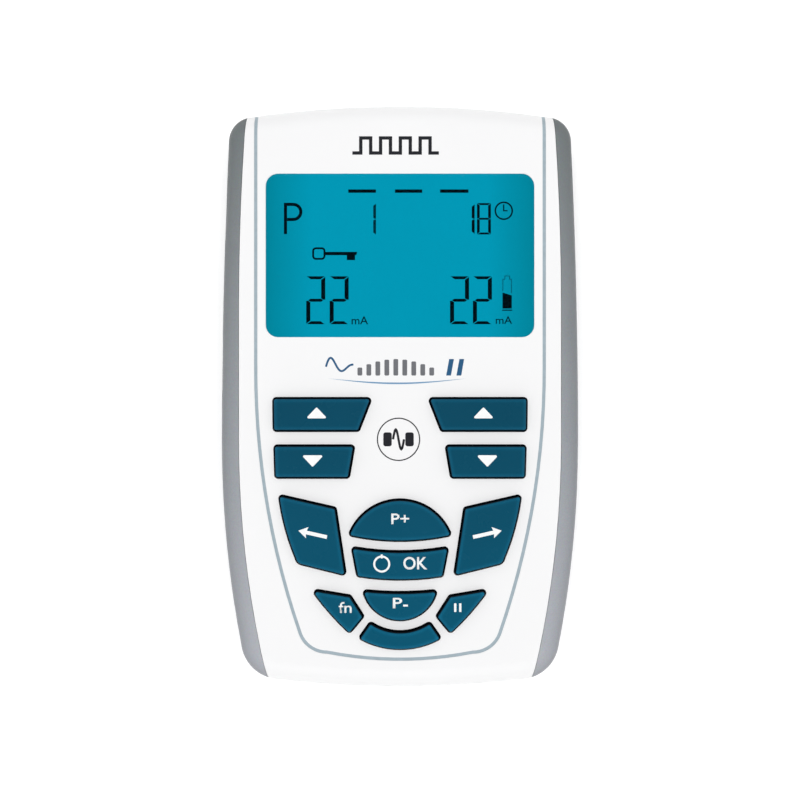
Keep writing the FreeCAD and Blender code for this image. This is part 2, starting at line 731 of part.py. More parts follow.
def bay_spaces():
    """What is cut from the rear half: the bay, the cover's way, the wires' slot and the label's recess."""
    pocket_half = "1.5 * dims.cell_pitch + dims.rail_play"
    slot_half = "dims.cover_half_width + dims.cover_gap"
    mouth_half = slot_half + " + dims.rail_lip"
    wires_x = "(dims.wire_red_x + dims.wire_black_x) / 2"
    pocket_bottom = "dims.rail_top_z + dims.rail_play"
    pocket = block("bay_pocket", ("-(%s)" % pocket_half, "dims.bay_bottom_y", pocket_bottom),
                   (pocket_half, "dims.bay_top_y", "dims.bay_ceiling_z"))
    channel = block("bay_channel", ("-dims.bay_half_width", "dims.bay_bottom_y - 0.5", "dims.wall"),
                    ("dims.bay_half_width", "dims.bay_top_y", pocket_bottom + " + 0.2"))
    opening = block("cover_opening", ("-(%s)" % slot_half, str(-FAR), "-1"),
                    (slot_half, "dims.cover_top_y + dims.cover_gap", "dims.wall + 0.5"))
    mouth = block("cover_mouth", ("-(%s)" % mouth_half, str(-FAR), "-1"),
                  (mouth_half, "dims.bay_bottom_y + 0.5", "dims.rail_top_z + dims.cover_gap"))
    wires = block("wire_slot",
                  (wires_x + " - dims.wire_slot_half_width", "dims.bay_top_y - 1",
                   "dims.pack_z + 0.5 - dims.wire_slot_half_height"),
                  (wires_x + " + dims.wire_slot_half_width", "dims.bay_top_y + dims.bay_wall + 1",
                   "dims.pack_z + 0.5 + dims.wire_slot_half_height"))
    label = block("label_space", ("-dims.label_width / 2", "dims.label_bottom_y", "-1"),
                  ("dims.label_width / 2", "dims.label_top_y", "dims.label_recess"))
    return [pocket, channel, opening, mouth, wires, label]


def across(side, inner, outer):
    """The low and high X of a span that runs outward on the right (1) or left (-1) of the middle."""
    if side > 0:
        return inner, outer
    return "-(%s)" % outer, "-(%s)" % inner


def build_battery_cover(envelope):
    """The cover over the battery bay, with side rails and finger ribs; it slides off along -Y."""
    half = "dims.cover_half_width"
    lip = "dims.cover_half_width + dims.rail_lip"
    panel = block("cover_panel", ("-" + half, str(-FAR), "-1"),
                  (half, "dims.cover_top_y", "dims.cover_thickness"))
    end_block = block("cover_end", ("-(%s)" % lip, str(-FAR), "-1"),
                      (lip, "-dims.case_length / 2 + dims.wall", "dims.rail_top_z"))
    outer = common("cover_outer", envelope, fuse("cover_region", [panel, end_block]))
    rails = []
    start_y = "-dims.case_length / 2 + 2"
    stop_y = "dims.bay_top_y - 0.5"
    for side, name in ((-1, "left"), (1, "right")):
        web_low, web_high = across(side, "dims.cover_half_width - dims.rail_wall", half)
        lip_low, lip_high = across(side, "dims.cover_half_width - dims.rail_wall", lip)
        rails.append(block("rail_web_" + name, (web_low, start_y, "dims.cover_thickness - 0.5"),
                           (web_high, stop_y, "dims.rail_top_z")))
        rails.append(block("rail_lip_" + name, (lip_low, start_y, "dims.rail_bottom_z"),
                           (lip_high, stop_y, "dims.rail_top_z")))
    slots = []
    for index in range(FINGER_SLOTS):
        low = "dims.finger_slot_first_y - %d * dims.finger_slot_pitch" % index
        slots.append(block("finger_slot_%d" % index, ("-dims.finger_slot_half_length", low, "-1"),
                           ("dims.finger_slot_half_length", low + " + dims.finger_slot_width",
                            "dims.finger_slot_depth")))
    keep("battery_cover", cut("cover_piece", fuse("cover_solid", [outer] + rails), slots))


def build_battery():
    """Six nickel-metal-hydride cells in two rows of three, in one shrunk-on sleeve."""
    cells = []
    bores = []
    for row in (-1, 0):
        for column in (-1, 0, 1):
            name = "cell_%d_%d" % (row + 2, column + 2)
            x = "%d * dims.cell_pitch" % column
            y = "dims.pack_y + %d * dims.cell_length" % row
            cells.append(rod(name, "dims.cell_radius", "dims.cell_length - dims.cell_gap",
                             (x, y, "dims.pack_z"), "y"))
            bores.append(rod(name + "_bore", "dims.cell_radius", "dims.cell_length + 2",
                             (x, y + " - 1", "dims.pack_z"), "y"))
    keep("battery_cells", group("cell_group", cells))
    half = "1.5 * dims.cell_pitch"
    box = block("sleeve_box",
                ("-(%s)" % half, "dims.pack_y - dims.cell_length + dims.sleeve_end",
                 "dims.pack_z - dims.pack_half_height"),
                (half, "dims.pack_y + dims.cell_length - dims.cell_gap - dims.sleeve_end",
                 "dims.pack_z + dims.pack_half_height"))
    keep("battery_sleeve", cut("sleeve_piece", box, bores))


def lead(name, x):
    """An insulated wire: out of the pack, a quarter bend, and up to the connector."""
    start_y = "dims.pack_y + dims.cell_length - dims.cell_gap"
    bend_top = "dims.pack_z + dims.wire_bend_radius"
    connector_bottom = "dims.board_top_z - dims.board_thickness - dims.connector_height"
    along = rod(name + "_along", "dims.wire_radius", "dims.wire_bend_y - (%s)" % start_y,
                (x, start_y, "dims.pack_z"), "y")
    bend = doc.addObject("Part::Torus", name + "_bend")
    bend.Angle3 = 90
    bend.Placement.Rotation = FreeCAD.Rotation(FreeCAD.Vector(0, 1, 0), 90)
    bind(bend, Radius1="dims.wire_bend_radius", Radius2="dims.wire_radius",
         x=x, y="dims.wire_bend_y", z=bend_top)
    rise = rod(name + "_rise", "dims.wire_radius", "%s - (%s)" % (connector_bottom, bend_top),
               (x, "dims.wire_bend_y + dims.wire_bend_radius", bend_top))
    return along, bend, rise


def build_leads():
    """The pack's red and black leads, and the connector that they plug into."""
    for colour in ("red", "black"):
        name = "battery_lead_" + colour
        keep(name, fuse(name + "_piece", lead(name, "dims.wire_%s_x" % colour)))
    keep("battery_connector", hung("connector_piece", "dims.connector_x", "dims.connector_y",
                                   "dims.connector_width", "dims.connector_length", "dims.connector_height"))


def hung(name, x, y, width, length, height):
    """A block centred on a place, hanging from the underside of the circuit board."""
    under = "dims.board_top_z - dims.board_thickness"
    return block(name,
                 ("%s - %s / 2" % (x, width), "%s - %s / 2" % (y, length), "%s - %s" % (under, height)),
                 ("%s + %s / 2" % (x, width), "%s + %s / 2" % (y, length), under))


def build_board(envelope):
    """The circuit board, with clearance holes at the screws and bosses."""
    under = "dims.board_top_z - dims.board_thickness"
    core = shrink("board_core", envelope, "dims.board_inset")
    slab = block("board_slab", (str(-FAR), str(-FAR), under),
                 (str(FAR), "dims.board_top_y", "dims.board_top_z"))
    outline = common("board_outline", core, slab)
    holes = []
    for index, (x, y) in enumerate(CASE_SCREW_PLACES):
        holes.append(rod("board_clearance_%d" % index, "dims.boss_radius + dims.hole_clearance",
                         "dims.board_thickness + 2", (str(x), str(y), under + " - 1")))
    for index, (x, y) in enumerate(BOARD_SCREW_PLACES):
        holes.append(rod("board_hole_%d" % index, "dims.post_bore_radius + 0.1", "dims.board_thickness + 2",
                         (str(x), str(y), under + " - 1")))
    keep("main_board", cut("board_piece", outline, holes))


def build_components():
    """The larger parts soldered under the circuit board."""
    under = "dims.board_top_z - dims.board_thickness"
    cores = []
    windings = []
    for side, name in ((-1, "left"), (1, "right")):
        x = "%d * dims.transformer_x" % side
        cores.append(ferrite_core(name, x))
        windings.append(rod("winding_" + name, "dims.winding_radius", "dims.winding_length",
                            (x + " - dims.winding_length / 2", "dims.transformer_y",
                             under + " - dims.core_height / 2"), "x"))
    keep("transformer_cores", group("core_group", cores))
    keep("transformer_windings", group("winding_group", windings))
    cans = [rod("can_%d" % (step + 2), "dims.can_radius", "dims.can_height",
                ("%d * dims.can_pitch" % step, "dims.can_y", under + " - dims.can_height"))
            for step in (-1, 0, 1)]
    keep("capacitors", group("can_group", cans))
    keep("buzzer", rod("buzzer_piece", "dims.buzzer_radius", "dims.buzzer_height",
                       ("dims.buzzer_x", "dims.buzzer_y", under + " - dims.buzzer_height")))
    keep("microcontroller", hung("controller_piece", "dims.controller_x", "dims.controller_y",
                                 "dims.controller_width", "dims.controller_width", "dims.controller_height"))
    drivers = [hung("driver_%d" % index, str(x), "dims.driver_y", "dims.driver_width", "dims.driver_length",
                    "dims.driver_height") for index, x in enumerate(DRIVER_PLACES_X)]
    keep("output_drivers", group("driver_group", drivers))


def ferrite_core(name, x):
    """Four bars in a frame round the winding."""
    ends = [hung("core_%s_end_%d" % (name, side + 2),
                 "%s + %d * (dims.core_length - dims.core_leg) / 2" % (x, side), "dims.transformer_y",
                 "dims.core_leg", "dims.core_width", "dims.core_height") for side in (-1, 1)]
    yokes = [hung("core_%s_yoke_%d" % (name, side + 2), x,
                  "dims.transformer_y + %d * (dims.core_width - dims.core_leg) / 2" % side,
                  "dims.core_length", "dims.core_leg", "dims.core_height") for side in (-1, 1)]
    return fuse("core_" + name, ends + yokes)


def screw(name, size, head_bottom, place):
    """A cross-recess screw with its head down and its shank along +Z; size names the sheet's cells."""
    x, y = place
    head = "dims.%s_head" % size
    shank_start = "(%s) + %s" % (head_bottom, head)
    disc = rod(name + "_head", "dims.%s_head_radius" % size, head, (x, y, head_bottom))
    shank = rod(name + "_shank", "dims.%s_radius" % size, "dims.%s_length" % size, (x, y, shank_start))
    reach = "dims.%s_head_radius * dims.cross_reach" % size
    bottom = "(%s) - 1" % head_bottom
    top = "(%s) + dims.cross_reach * %s" % (head_bottom, head)
    half_width = "dims.cross_half_width"
    slots = []
    for turn, (half_x, half_y) in enumerate(((reach, half_width), (half_width, reach))):
        slots.append(block("%s_slot_%d" % (name, turn),
                           ("%s - %s" % (x, half_x), "%s - %s" % (y, half_y), bottom),
                           ("%s + %s" % (x, half_x), "%s + %s" % (y, half_y), top)))
    return cut(name, fuse(name + "_solid", [disc, shank]), slots)


def build_screws():
    """Four screws that close the case from the back and six that hold the circuit board."""
    case_screws = [screw("case_screw_%d" % index, "screw", "dims.screw_recess - dims.screw_head",
                         (str(x), str(y)))
                   for index, (x, y) in enumerate(CASE_SCREW_PLACES)]
    keep("case_screws", group("case_screw_group", case_screws))
    head_bottom = "dims.board_top_z - dims.board_thickness - dims.board_screw_head"
    board_screws = [screw("board_screw_%d" % index, "board_screw", head_bottom, (str(x), str(y)))
                    for index, (x, y) in enumerate(BOARD_SCREW_PLACES)]
    keep("board_screws", group("board_screw_group", board_screws))


def check_and_write():
    """Stops on any failed object or bad shape, then writes one STEP file for each sub-part."""
    doc.recompute()
    for thing in doc.Objects:
        if "Invalid" in thing.State or "Error" in thing.State:
            raise RuntimeError("%s failed: %s" % (thing.Name, thing.State))
    for name, thing in nodes.items():
        if thing.Shape.isNull() or not thing.Shape.isValid():
            raise RuntimeError("%s has no valid shape" % name)
        if not thing.Shape.Solids:
            raise RuntimeError("%s has no solid" % name)
    os.makedirs("parts", exist_ok=True)
    for name, thing in nodes.items():
        thing.Shape.exportStep("parts/%s.step" % name)
        print("%-22s solids %d  volume %9.1f" % (name, len(thing.Shape.Solids), thing.Shape.Volume))


fill_sheet()
envelope = make_envelope()
skin_core = shrink("skin_core", envelope, "dims.grip_skin")
cavity = shrink("cavity", envelope, "dims.wall")
key_openings = build_keys()
socket_holes = build_sockets()
build_front_shell(envelope, skin_core, cavity, key_openings, socket_holes)
build_rear_shell(envelope, skin_core, cavity)
build_grips(envelope, skin_core)
build_display()
build_mat()
build_battery_cover(envelope)
build_battery()
build_leads()
build_board(envelope)
build_components()
build_screws()
check_and_write()
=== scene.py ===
"""Looks of a hand-held two-group muscle and nerve stimulator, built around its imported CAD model.

Lengths in the outlines and tables below are millimetres in the object's own frame; MM turns them into metres.
"""
import json
import math

import bmesh
import bpy
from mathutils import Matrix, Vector
from mathutils.bvhtree import BVHTree

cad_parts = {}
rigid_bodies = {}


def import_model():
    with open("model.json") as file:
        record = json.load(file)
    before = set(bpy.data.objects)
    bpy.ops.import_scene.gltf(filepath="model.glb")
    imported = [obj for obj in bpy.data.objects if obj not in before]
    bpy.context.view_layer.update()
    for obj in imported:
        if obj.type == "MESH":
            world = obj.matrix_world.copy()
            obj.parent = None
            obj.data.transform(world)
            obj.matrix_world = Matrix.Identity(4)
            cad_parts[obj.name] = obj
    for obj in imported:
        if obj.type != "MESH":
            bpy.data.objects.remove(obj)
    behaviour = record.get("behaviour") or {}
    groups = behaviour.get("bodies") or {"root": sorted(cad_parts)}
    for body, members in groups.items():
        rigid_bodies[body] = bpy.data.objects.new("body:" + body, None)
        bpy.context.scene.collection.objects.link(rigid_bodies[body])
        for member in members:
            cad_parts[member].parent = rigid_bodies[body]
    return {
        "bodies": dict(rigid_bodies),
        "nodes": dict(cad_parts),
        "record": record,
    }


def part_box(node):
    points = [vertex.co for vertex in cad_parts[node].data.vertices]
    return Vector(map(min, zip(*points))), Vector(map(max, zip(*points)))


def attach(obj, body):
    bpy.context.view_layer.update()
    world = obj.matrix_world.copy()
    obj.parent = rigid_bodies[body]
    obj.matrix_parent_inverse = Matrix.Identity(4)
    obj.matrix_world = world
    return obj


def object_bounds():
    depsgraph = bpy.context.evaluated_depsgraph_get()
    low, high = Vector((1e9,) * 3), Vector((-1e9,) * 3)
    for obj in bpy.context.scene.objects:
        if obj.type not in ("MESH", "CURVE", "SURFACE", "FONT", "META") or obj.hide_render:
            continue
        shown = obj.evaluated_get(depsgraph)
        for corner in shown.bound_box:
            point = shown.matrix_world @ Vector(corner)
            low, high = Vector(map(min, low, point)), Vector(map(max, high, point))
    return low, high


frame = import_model()
cad_low, cad_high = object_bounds()

MM = 0.001
FACE_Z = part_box("front_shell")[1].z
KEY_TOP_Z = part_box("key_ok")[1].z
GLASS_TOP_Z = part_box("lcd_glass")[1].z
BACK_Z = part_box("battery_cover")[0].z
SOCKET_FACE_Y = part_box("lead_socket_left")[1].y

# a print stands this much above its surface and reaches this much into it, in metres
PRINT = 0.03 * MM
SINK = 0.02 * MM

# camera: straight down on the middle of the face
CAMERA_HEIGHT = 0.400
CAMERA_Y = -0.97 * MM
VIEW_WIDTH = 218.2 * MM
SENSOR_WIDTH = 36.0

# groove round the face, as in the design
GROOVE_X = 39.8
GROOVE_STRAIGHT_Y = 8.57
GROOVE_SIDE_RADIUS = 221.0
GROOVE_LOW = (27.6, -64.9)
GROOVE_CORNER_RADIUS = 8.2
GROOVE_END = (19.9, -70.2)
GROOVE_END_RADIUS = 104.0
GROOVE_WIDTH = 0.9
GROOVE_DEPTH = 0.25
INLAY_GAP = 0.02
INLAY_SUNK = 0.05
INLAY_THICKNESS = 0.12
RIM_RADIUS = 5.8
LINE_LOW_Z = 15.3

# display window, as in the design
LENS_FLANGE = 1.4
WINDOW_ROUND = 3.5
LENS_GAP = 0.1
BEAD_LOW = -0.4
BEAD_HIGH = 0.24

# keys: how deep the coat reaches down the side before it fades out, how far from the edge a painted highlight
# makes it paler and how much, and the rows between which its colour runs from one blue to the other, painted
# shade that is darker on the upper keys and lighter towards the key end
COAT_END = 0.18
COAT_FADE_END = 0.34
HIGHLIGHT_EDGE_REACH = 1.2
HIGHLIGHT_EDGE_GAIN = 1.7
KEYS_LOW_Y = -65
KEYS_HIGH_Y = -5
SKIRT_ROUGHNESS = 0.9

# grips: painted light and shade run the paint from light at the key end to dark at the top end over this
# length each way, and painted shade makes it darker down the rounded side and brighter near the face
GRIP_REACH_Y = 75
SIDE_SHADE_DEPTH = 2.6
SIDE_SHADE_GAIN = (0.78, 1.13)
FLAKE_DENSITY = 5200.0
FLAKE_SHARE = 0.16

# display: it dims between these distances from the middle
DIM_START_X = 24
DIM_END_X = 38
CLOUD_SHARE = 0.14
GLOW_STRENGTH = 0.97

# back and ends: the label lies in a recess of the rear shell, and the sockets' middles are this high
LABEL_RECESS = 0.3
LABEL_THICKNESS = 0.12
SOCKET_Z = 19.2

# sky brightness by the height of the direction, from the horizon (0) up to straight overhead (1), and its
# factors towards the key end and the top end
SKY_BANDS = ((0.0, 1.5), (0.12, 1.4), (0.28, 0.70), (0.65, 0.95), (0.90, 1.0), (0.96, 0.02), (1.0, 0.02))
SKY_NEAR = 0.63
SKY_FAR = 0.50

# sizes of the patches in the moulded materials' colour and gloss, in metres
DRIFT_SIZE = 0.022
GLOSS_SIZE = 0.006

# floor, in metres: half its side and its gap under the object; its glow near the object and far out, and the
# distances between which that grows
FLOOR_HALF = 3.0
FLOOR_GAP = 0.02 * MM
FLOOR_GLOW = (0.24, 0.50)
FLOOR_GLOW_REACH = (0.5, 2.2)

SEGMENTS_OF = {"1": "bc", "2": "abged", "8": "abcdefg"}


# ---------------------------------------------------------------- materials

def new_material(name):
    """An empty node material with one Principled shader; returns the material and its node tree."""
    material = bpy.data.materials.new(name)
    material.use_nodes = True
    return material, material.node_tree


def node(tree, kind, **settings):
    """Adds a shader node; a setting is an input when the node has one of that name."""
    made = tree.nodes.new(kind)
    for key, value in settings.items():
        label = key.replace("_", " ")
        if label in made.inputs:
            made.inputs[label].default_value = value
        else:
            setattr(made, key, value)
    return made


def object_position(tree):
    """The place on the object, in metres."""
    return node(tree, "ShaderNodeTexCoord").outputs["Object"]


def coordinate(tree, position, axis):
    """One coordinate of a place."""
    split = node(tree, "ShaderNodeSeparateXYZ")
    tree.links.new(position, split.inputs["Vector"])
    return split.outputs[axis]


def noise(tree, position, size, detail=2.0, roughness=0.5):
    """A noise pattern whose lumps are about the given size in metres."""
    made = node(tree, "ShaderNodeTexNoise", Scale=1.0 / size, Detail=detail, Roughness=roughness)
    tree.links.new(position, made.inputs["Vector"])
    return made.outputs["Fac"]


def remap(tree, source, low, high, from_low=0.3, from_high=0.7):
    """The source stretched from one range to another."""
    made = node(tree, "ShaderNodeMapRange")
    for name, value in (("From Min", from_low), ("From Max", from_high), ("To Min", low), ("To Max", high)):
        made.inputs[name].default_value = value
    tree.links.new(source, made.inputs["Value"])
    return made.outputs["Result"]


def blend_colors(tree, factor, first, second):
    """A colour that runs from first to second."""
    made = node(tree, "ShaderNodeMix", data_type="RGBA")
    made.inputs["A"].default_value = (*first, 1)
    made.inputs["B"].default_value = (*second, 1)
    tree.links.new(factor, made.inputs["Factor"])
    return made.outputs["Result"]


def brightened(tree, color, amount):
    """A colour made lighter or darker by a factor that varies over the surface."""
    made = node(tree, "ShaderNodeVectorMath", operation="SCALE")
    tree.links.new(color, made.inputs[0])
    tree.links.new(amount, made.inputs["Scale"])
    return made.outputs["Vector"]


def bump(tree, shader, height, distance):
    """Adds relief of the given depth in metres to a shader's normal."""
    made = node(tree, "ShaderNodeBump", Strength=1.0, Distance=distance)
    tree.links.new(height, made.inputs["Height"])
    tree.links.new(made.outputs["Normal"], shader.inputs["Normal"])


def scaled(color, amount):
    """A colour made lighter or darker."""
    return tuple(min(1.0, channel * amount) for channel in color)


def moulded(name, color, roughness, grain, relief, variation=0.04, uneven=0.05, **sockets):
    """Moulded plastic or rubber: slight colour drift, fine spark-eroded grain, uneven gloss."""
    material, tree = new_material(name)
    shader = tree.nodes["Principled BSDF"]
    position = object_position(tree)
    tree.links.new(drifting(tree, position, color, variation), shader.inputs["Base Color"])
    gloss = noise(tree, position, GLOSS_SIZE, 4.0)
    tree.links.new(remap(tree, gloss, roughness - uneven, roughness + uneven), shader.inputs["Roughness"])
    bump(tree, shader, noise(tree, position, grain), relief)
    for key, value in sockets.items():
        shader.inputs[key.replace("_", " ")].default_value = value
    return material


def drifting(tree, position, color, variation):
    """A colour that wanders a little over the surface."""
    drift = remap(tree, noise(tree, position, DRIFT_SIZE, 3.0), 0, 1)
    return blend_colors(tree, drift, scaled(color, 1 - variation), scaled(color, 1 + variation))


def key_cap(name, upper, lower, skirt):
    """A key: a coat with painted shade, deeper on the upper keys, and a painted highlight towards its edge,
    and bare matt dark sides that also stand in for the shade in the gap round the key.
    """
    material = moulded(name, upper, 0.26, 0.0005, 0.000005, 0.04, 0.04, Specular_IOR_Level=0.08)
    tree = material.node_tree
    shader = tree.nodes["Principled BSDF"]
    position = object_position(tree)
    # painted light and shade: the coat runs from the darker upper blue near the upper keys to the lighter
    # lower blue towards the key end
    along = remap(tree, coordinate(tree, position, "Y"), 1.0, 0.0, KEYS_LOW_Y * MM, KEYS_HIGH_Y * MM)
    coat = blend_colors(tree, along, upper, lower)
    tree.links.new(shader.inputs["Base Color"].links[0].from_socket, coat.node.inputs["A"])
    tree.links.new(drifting(tree, position, lower, 0.04), coat.node.inputs["B"])
    # painted highlight: the coat is made paler near every edge of the key, found by occlusion traced inside
    # it
    inside = node(tree, "ShaderNodeAmbientOcclusion", inside=True, only_local=True, samples=8,
                  Distance=HIGHLIGHT_EDGE_REACH * MM)
    coat = brightened(tree, coat, remap(tree, inside.outputs["AO"], HIGHLIGHT_EDGE_GAIN, 1.0, 0.5, 1.0))
    coated = remap(tree, coordinate(tree, position, "Z"), 0, 1,
                   KEY_TOP_Z - COAT_FADE_END * MM, KEY_TOP_Z - COAT_END * MM)
    matt = node(tree, "ShaderNodeMath", operation="MAXIMUM")
    tree.links.new(shader.inputs["Roughness"].links[0].from_socket, matt.inputs[0])
    tree.links.new(remap(tree, coated, SKIRT_ROUGHNESS, 0.0, 0.0, 1.0), matt.inputs[1])
    tree.links.new(matt.outputs["Value"], shader.inputs["Roughness"])
    # the sides below the coat are dark rubber, made near-black so that they also stand in for the shade in
    # the gap round the key
    both = blend_colors(tree, coated, skirt, upper)
    tree.links.new(coat, both.node.inputs["B"])
    tree.links.new(both, shader.inputs["Base Color"])
    return material


def silver_paint(name, dark, light):
    """Satin silver lacquer with fine metal flakes, with painted light that makes it lighter towards the key
    end and the upper edge, and painted shade that makes it darker towards the top end and down its sides.
    """
    material, tree = new_material(name)
    shader = tree.nodes["Principled BSDF"]
    position = object_position(tree)
    # painted light and shade: the silver runs from the lighter colour at the key end to the darker one at the
    # top end
    along = remap(tree, coordinate(tree, position, "Y"), 1.0, 0.0, -GRIP_REACH_Y * MM, GRIP_REACH_Y * MM)
    # painted shade: darker down the rounded side, brighter near the face
    side_shade = remap(tree, coordinate(tree, position, "Z"), *SIDE_SHADE_GAIN, FACE_Z - SIDE_SHADE_DEPTH * MM, FACE_Z)
    base = brightened(tree, blend_colors(tree, along, dark, light), side_shade)
    flakes = node(tree, "ShaderNodeTexVoronoi", Scale=FLAKE_DENSITY)
    tree.links.new(position, flakes.inputs["Vector"])
    spark = node(tree, "ShaderNodeMix", data_type="RGBA", blend_type="MULTIPLY")
    spark.inputs["Factor"].default_value = FLAKE_SHARE
    tree.links.new(base, spark.inputs["A"])
    tree.links.new(flakes.outputs["Color"], spark.inputs["B"])
    tree.links.new(spark.outputs["Result"], shader.inputs["Base Color"])
    gloss = noise(tree, position, 0.0009, 3.0)
    tree.links.new(remap(tree, gloss, 0.40, 0.52), shader.inputs["Roughness"])
    shader.inputs["Metallic"].default_value = 0.15
    shader.inputs["Specular IOR Level"].default_value = 0.2
    bump(tree, shader, noise(tree, position, 0.00035, 2.0), 0.000012)
    return material


def metal(name, color, roughness, brush=0.0004):
    """Plated or turned metal with fine tool marks."""
    material, tree = new_material(name)
    shader = tree.nodes["Principled BSDF"]
    position = object_position(tree)
    drift = noise(tree, position, 0.004, 3.0)
    tint = blend_colors(tree, remap(tree, drift, 0, 1), scaled(color, 0.9), scaled(color, 1.08))
    tree.links.new(tint, shader.inputs["Base Color"])
    marks = noise(tree, position, brush, 4.0, 0.7)
    tree.links.new(remap(tree, marks, roughness - 0.06, roughness + 0.08), shader.inputs["Roughness"])
    shader.inputs["Metallic"].default_value = 1.0
    bump(tree, shader, marks, 0.000015)
    return material


def clear_lens(name):
    """Clear acrylic window with faint smears."""
    material, tree = new_material(name)
    shader = tree.nodes["Principled BSDF"]
    smears = noise(tree, object_position(tree), 0.012, 4.0)
    tree.links.new(remap(tree, smears, 0.0, 0.05), shader.inputs["Roughness"])
    shader.inputs["Base Color"].default_value = (0.97, 1.0, 1.0, 1)
    shader.inputs["Transmission Weight"].default_value = 1.0
    shader.inputs["IOR"].default_value = 1.49
    return material


def backlit_glass(name):
    """The lit display: teal, a little dimmer towards the two sides, with a faint cell pattern."""
    material, tree = new_material(name)
    shader = tree.nodes["Principled BSDF"]
    position = object_position(tree)
    side = node(tree, "ShaderNodeMath", operation="ABSOLUTE")
    tree.links.new(coordinate(tree, position, "X"), side.inputs[0])
    edge = remap(tree, side.outputs["Value"], 0, 1, DIM_START_X * MM, DIM_END_X * MM)
    cloud = noise(tree, position, 0.018, 2.0)
    mottled = node(tree, "ShaderNodeMath", operation="MULTIPLY_ADD")
    mottled.inputs[1].default_value = CLOUD_SHARE
    tree.links.new(cloud, mottled.inputs[0])
    tree.links.new(edge, mottled.inputs[2])
    glow = blend_colors(tree, mottled.outputs["Value"], (0.0, 0.335, 0.50), (0.0, 0.24, 0.34))
    tree.links.new(glow, shader.inputs["Emission Color"])
    shader.inputs["Emission Strength"].default_value = GLOW_STRENGTH
    shader.inputs["Base Color"].default_value = (0.0, 0.07, 0.10, 1)
    shader.inputs["Specular IOR Level"].default_value = 0.0
    cells = noise(tree, position, 0.0004, 1.0)
    tree.links.new(remap(tree, cells, 0.18, 0.26), shader.inputs["Roughness"])
    return material


def printed(name, color, roughness=0.45, gloss=0.5):
    """Screen-printed ink: slightly uneven cover and gloss."""
    material, tree = new_material(name)
    shader = tree.nodes["Principled BSDF"]
    position = object_position(tree)
    cover = noise(tree, position, 0.0012, 4.0)
    tint = blend_colors(tree, remap(tree, cover, 0, 1), scaled(color, 0.93), scaled(color, 1.03))
    tree.links.new(tint, shader.inputs["Base Color"])
    tree.links.new(remap(tree, cover, roughness - 0.06, roughness + 0.06), shader.inputs["Roughness"])
    shader.inputs["Specular IOR Level"].default_value = gloss
    bump(tree, shader, cover, 0.000006)
    return material


def circuit_board(name):
    """Green solder mask with copper traces showing faintly through."""
    material, tree = new_material(name)
    shader = tree.nodes["Principled BSDF"]
    traces = node(tree, "ShaderNodeTexBrick", Scale=420.0)
    tree.links.new(object_position(tree), traces.inputs["Vector"])
    tint = blend_colors(tree, traces.outputs["Fac"], (0.012, 0.12, 0.045), (0.03, 0.22, 0.08))
    tree.links.new(tint, shader.inputs["Base Color"])
    shader.inputs["Roughness"].default_value = 0.35
    bump(tree, shader, traces.outputs["Fac"], 0.00003)
    return material


def make_materials():
    """One material for each of the record's slots, and the inks."""
    return {
        "case_white": moulded("case_white", (0.895, 0.895, 0.90), 0.36, 0.00045, 0.000006, 0.006,
                              Coat_Weight=0.15, Coat_Roughness=0.25),
        # the two grip colours are the painted-shade and painted-light ends of one silver
        "grip_silver": silver_paint("grip_silver", (0.180, 0.203, 0.208), (0.43, 0.445, 0.485)),
        # the coat's two blues are the painted-shade and painted-light ends of one colour; the near-black
        # sides also stand in for the shade in the key gaps
        "key_blue": key_cap("key_blue", (0.004, 0.062, 0.110), (0.004, 0.085, 0.150), (0.0, 0.004, 0.009)),
        "lens_clear": clear_lens("lens_clear"),
        "display_teal": backlit_glass("display_teal"),
        "frame_black": moulded("frame_black", (0.02, 0.02, 0.022), 0.5, 0.0005, 0.00002),
        "backlight_white": moulded("backlight_white", (0.8, 0.84, 0.84), 0.5, 0.001, 0.00001),
        "silicone_grey": moulded("silicone_grey", (0.05, 0.055, 0.06), 0.6, 0.0004, 0.00002),
        "pill_carbon": moulded("pill_carbon", (0.02, 0.02, 0.02), 0.65, 0.0003, 0.00002),
        "board_green": circuit_board("board_green"),
        "socket_dark": moulded("socket_dark", (0.045, 0.05, 0.055), 0.42, 0.0004, 0.000015),
        "screw_steel": metal("screw_steel", (0.56, 0.56, 0.57), 0.30),
        "ferrite_grey": moulded("ferrite_grey", (0.05, 0.05, 0.055), 0.55, 0.0003, 0.00004),
        "winding_copper": metal("winding_copper", (0.75, 0.33, 0.14), 0.35),
        "can_aluminium": metal("can_aluminium", (0.68, 0.69, 0.71), 0.32),
        "cell_steel": metal("cell_steel", (0.60, 0.61, 0.62), 0.28),
        "sleeve_blue": moulded("sleeve_blue", (0.015, 0.075, 0.24), 0.22, 0.0012, 0.00004, 0.08,
                               Coat_Weight=0.4),
        "wire_red": moulded("wire_red", (0.5, 0.015, 0.012), 0.4, 0.0008, 0.00001),
        "wire_black": moulded("wire_black", (0.015, 0.015, 0.016), 0.4, 0.0008, 0.00001),
        "ink_white": printed("ink_white", (0.92, 0.93, 0.93)),
        "ink_dark": printed("ink_dark", (0.012, 0.013, 0.018)),
        "ink_grey": printed("ink_grey", (0.16, 0.165, 0.18)),
        "ink_blue": printed("ink_blue", (0.02, 0.10, 0.22)),
        "ink_pale": printed("ink_pale", (0.16, 0.32, 0.50)),
        "line_blue": printed("line_blue", (0.36, 0.44, 0.49)),
        "segment_dark": printed("segment_dark", (0.0, 0.022, 0.036), 0.4, 0.0),
        "segment_thin": printed("segment_thin", (0.0, 0.10, 0.14), 0.4, 0.0),
        "segment_faint": printed("segment_faint", (0.01, 0.29, 0.40), 0.4, 0.0),
        "label_film": printed("label_film", (0.62, 0.64, 0.66), 0.3),
    }


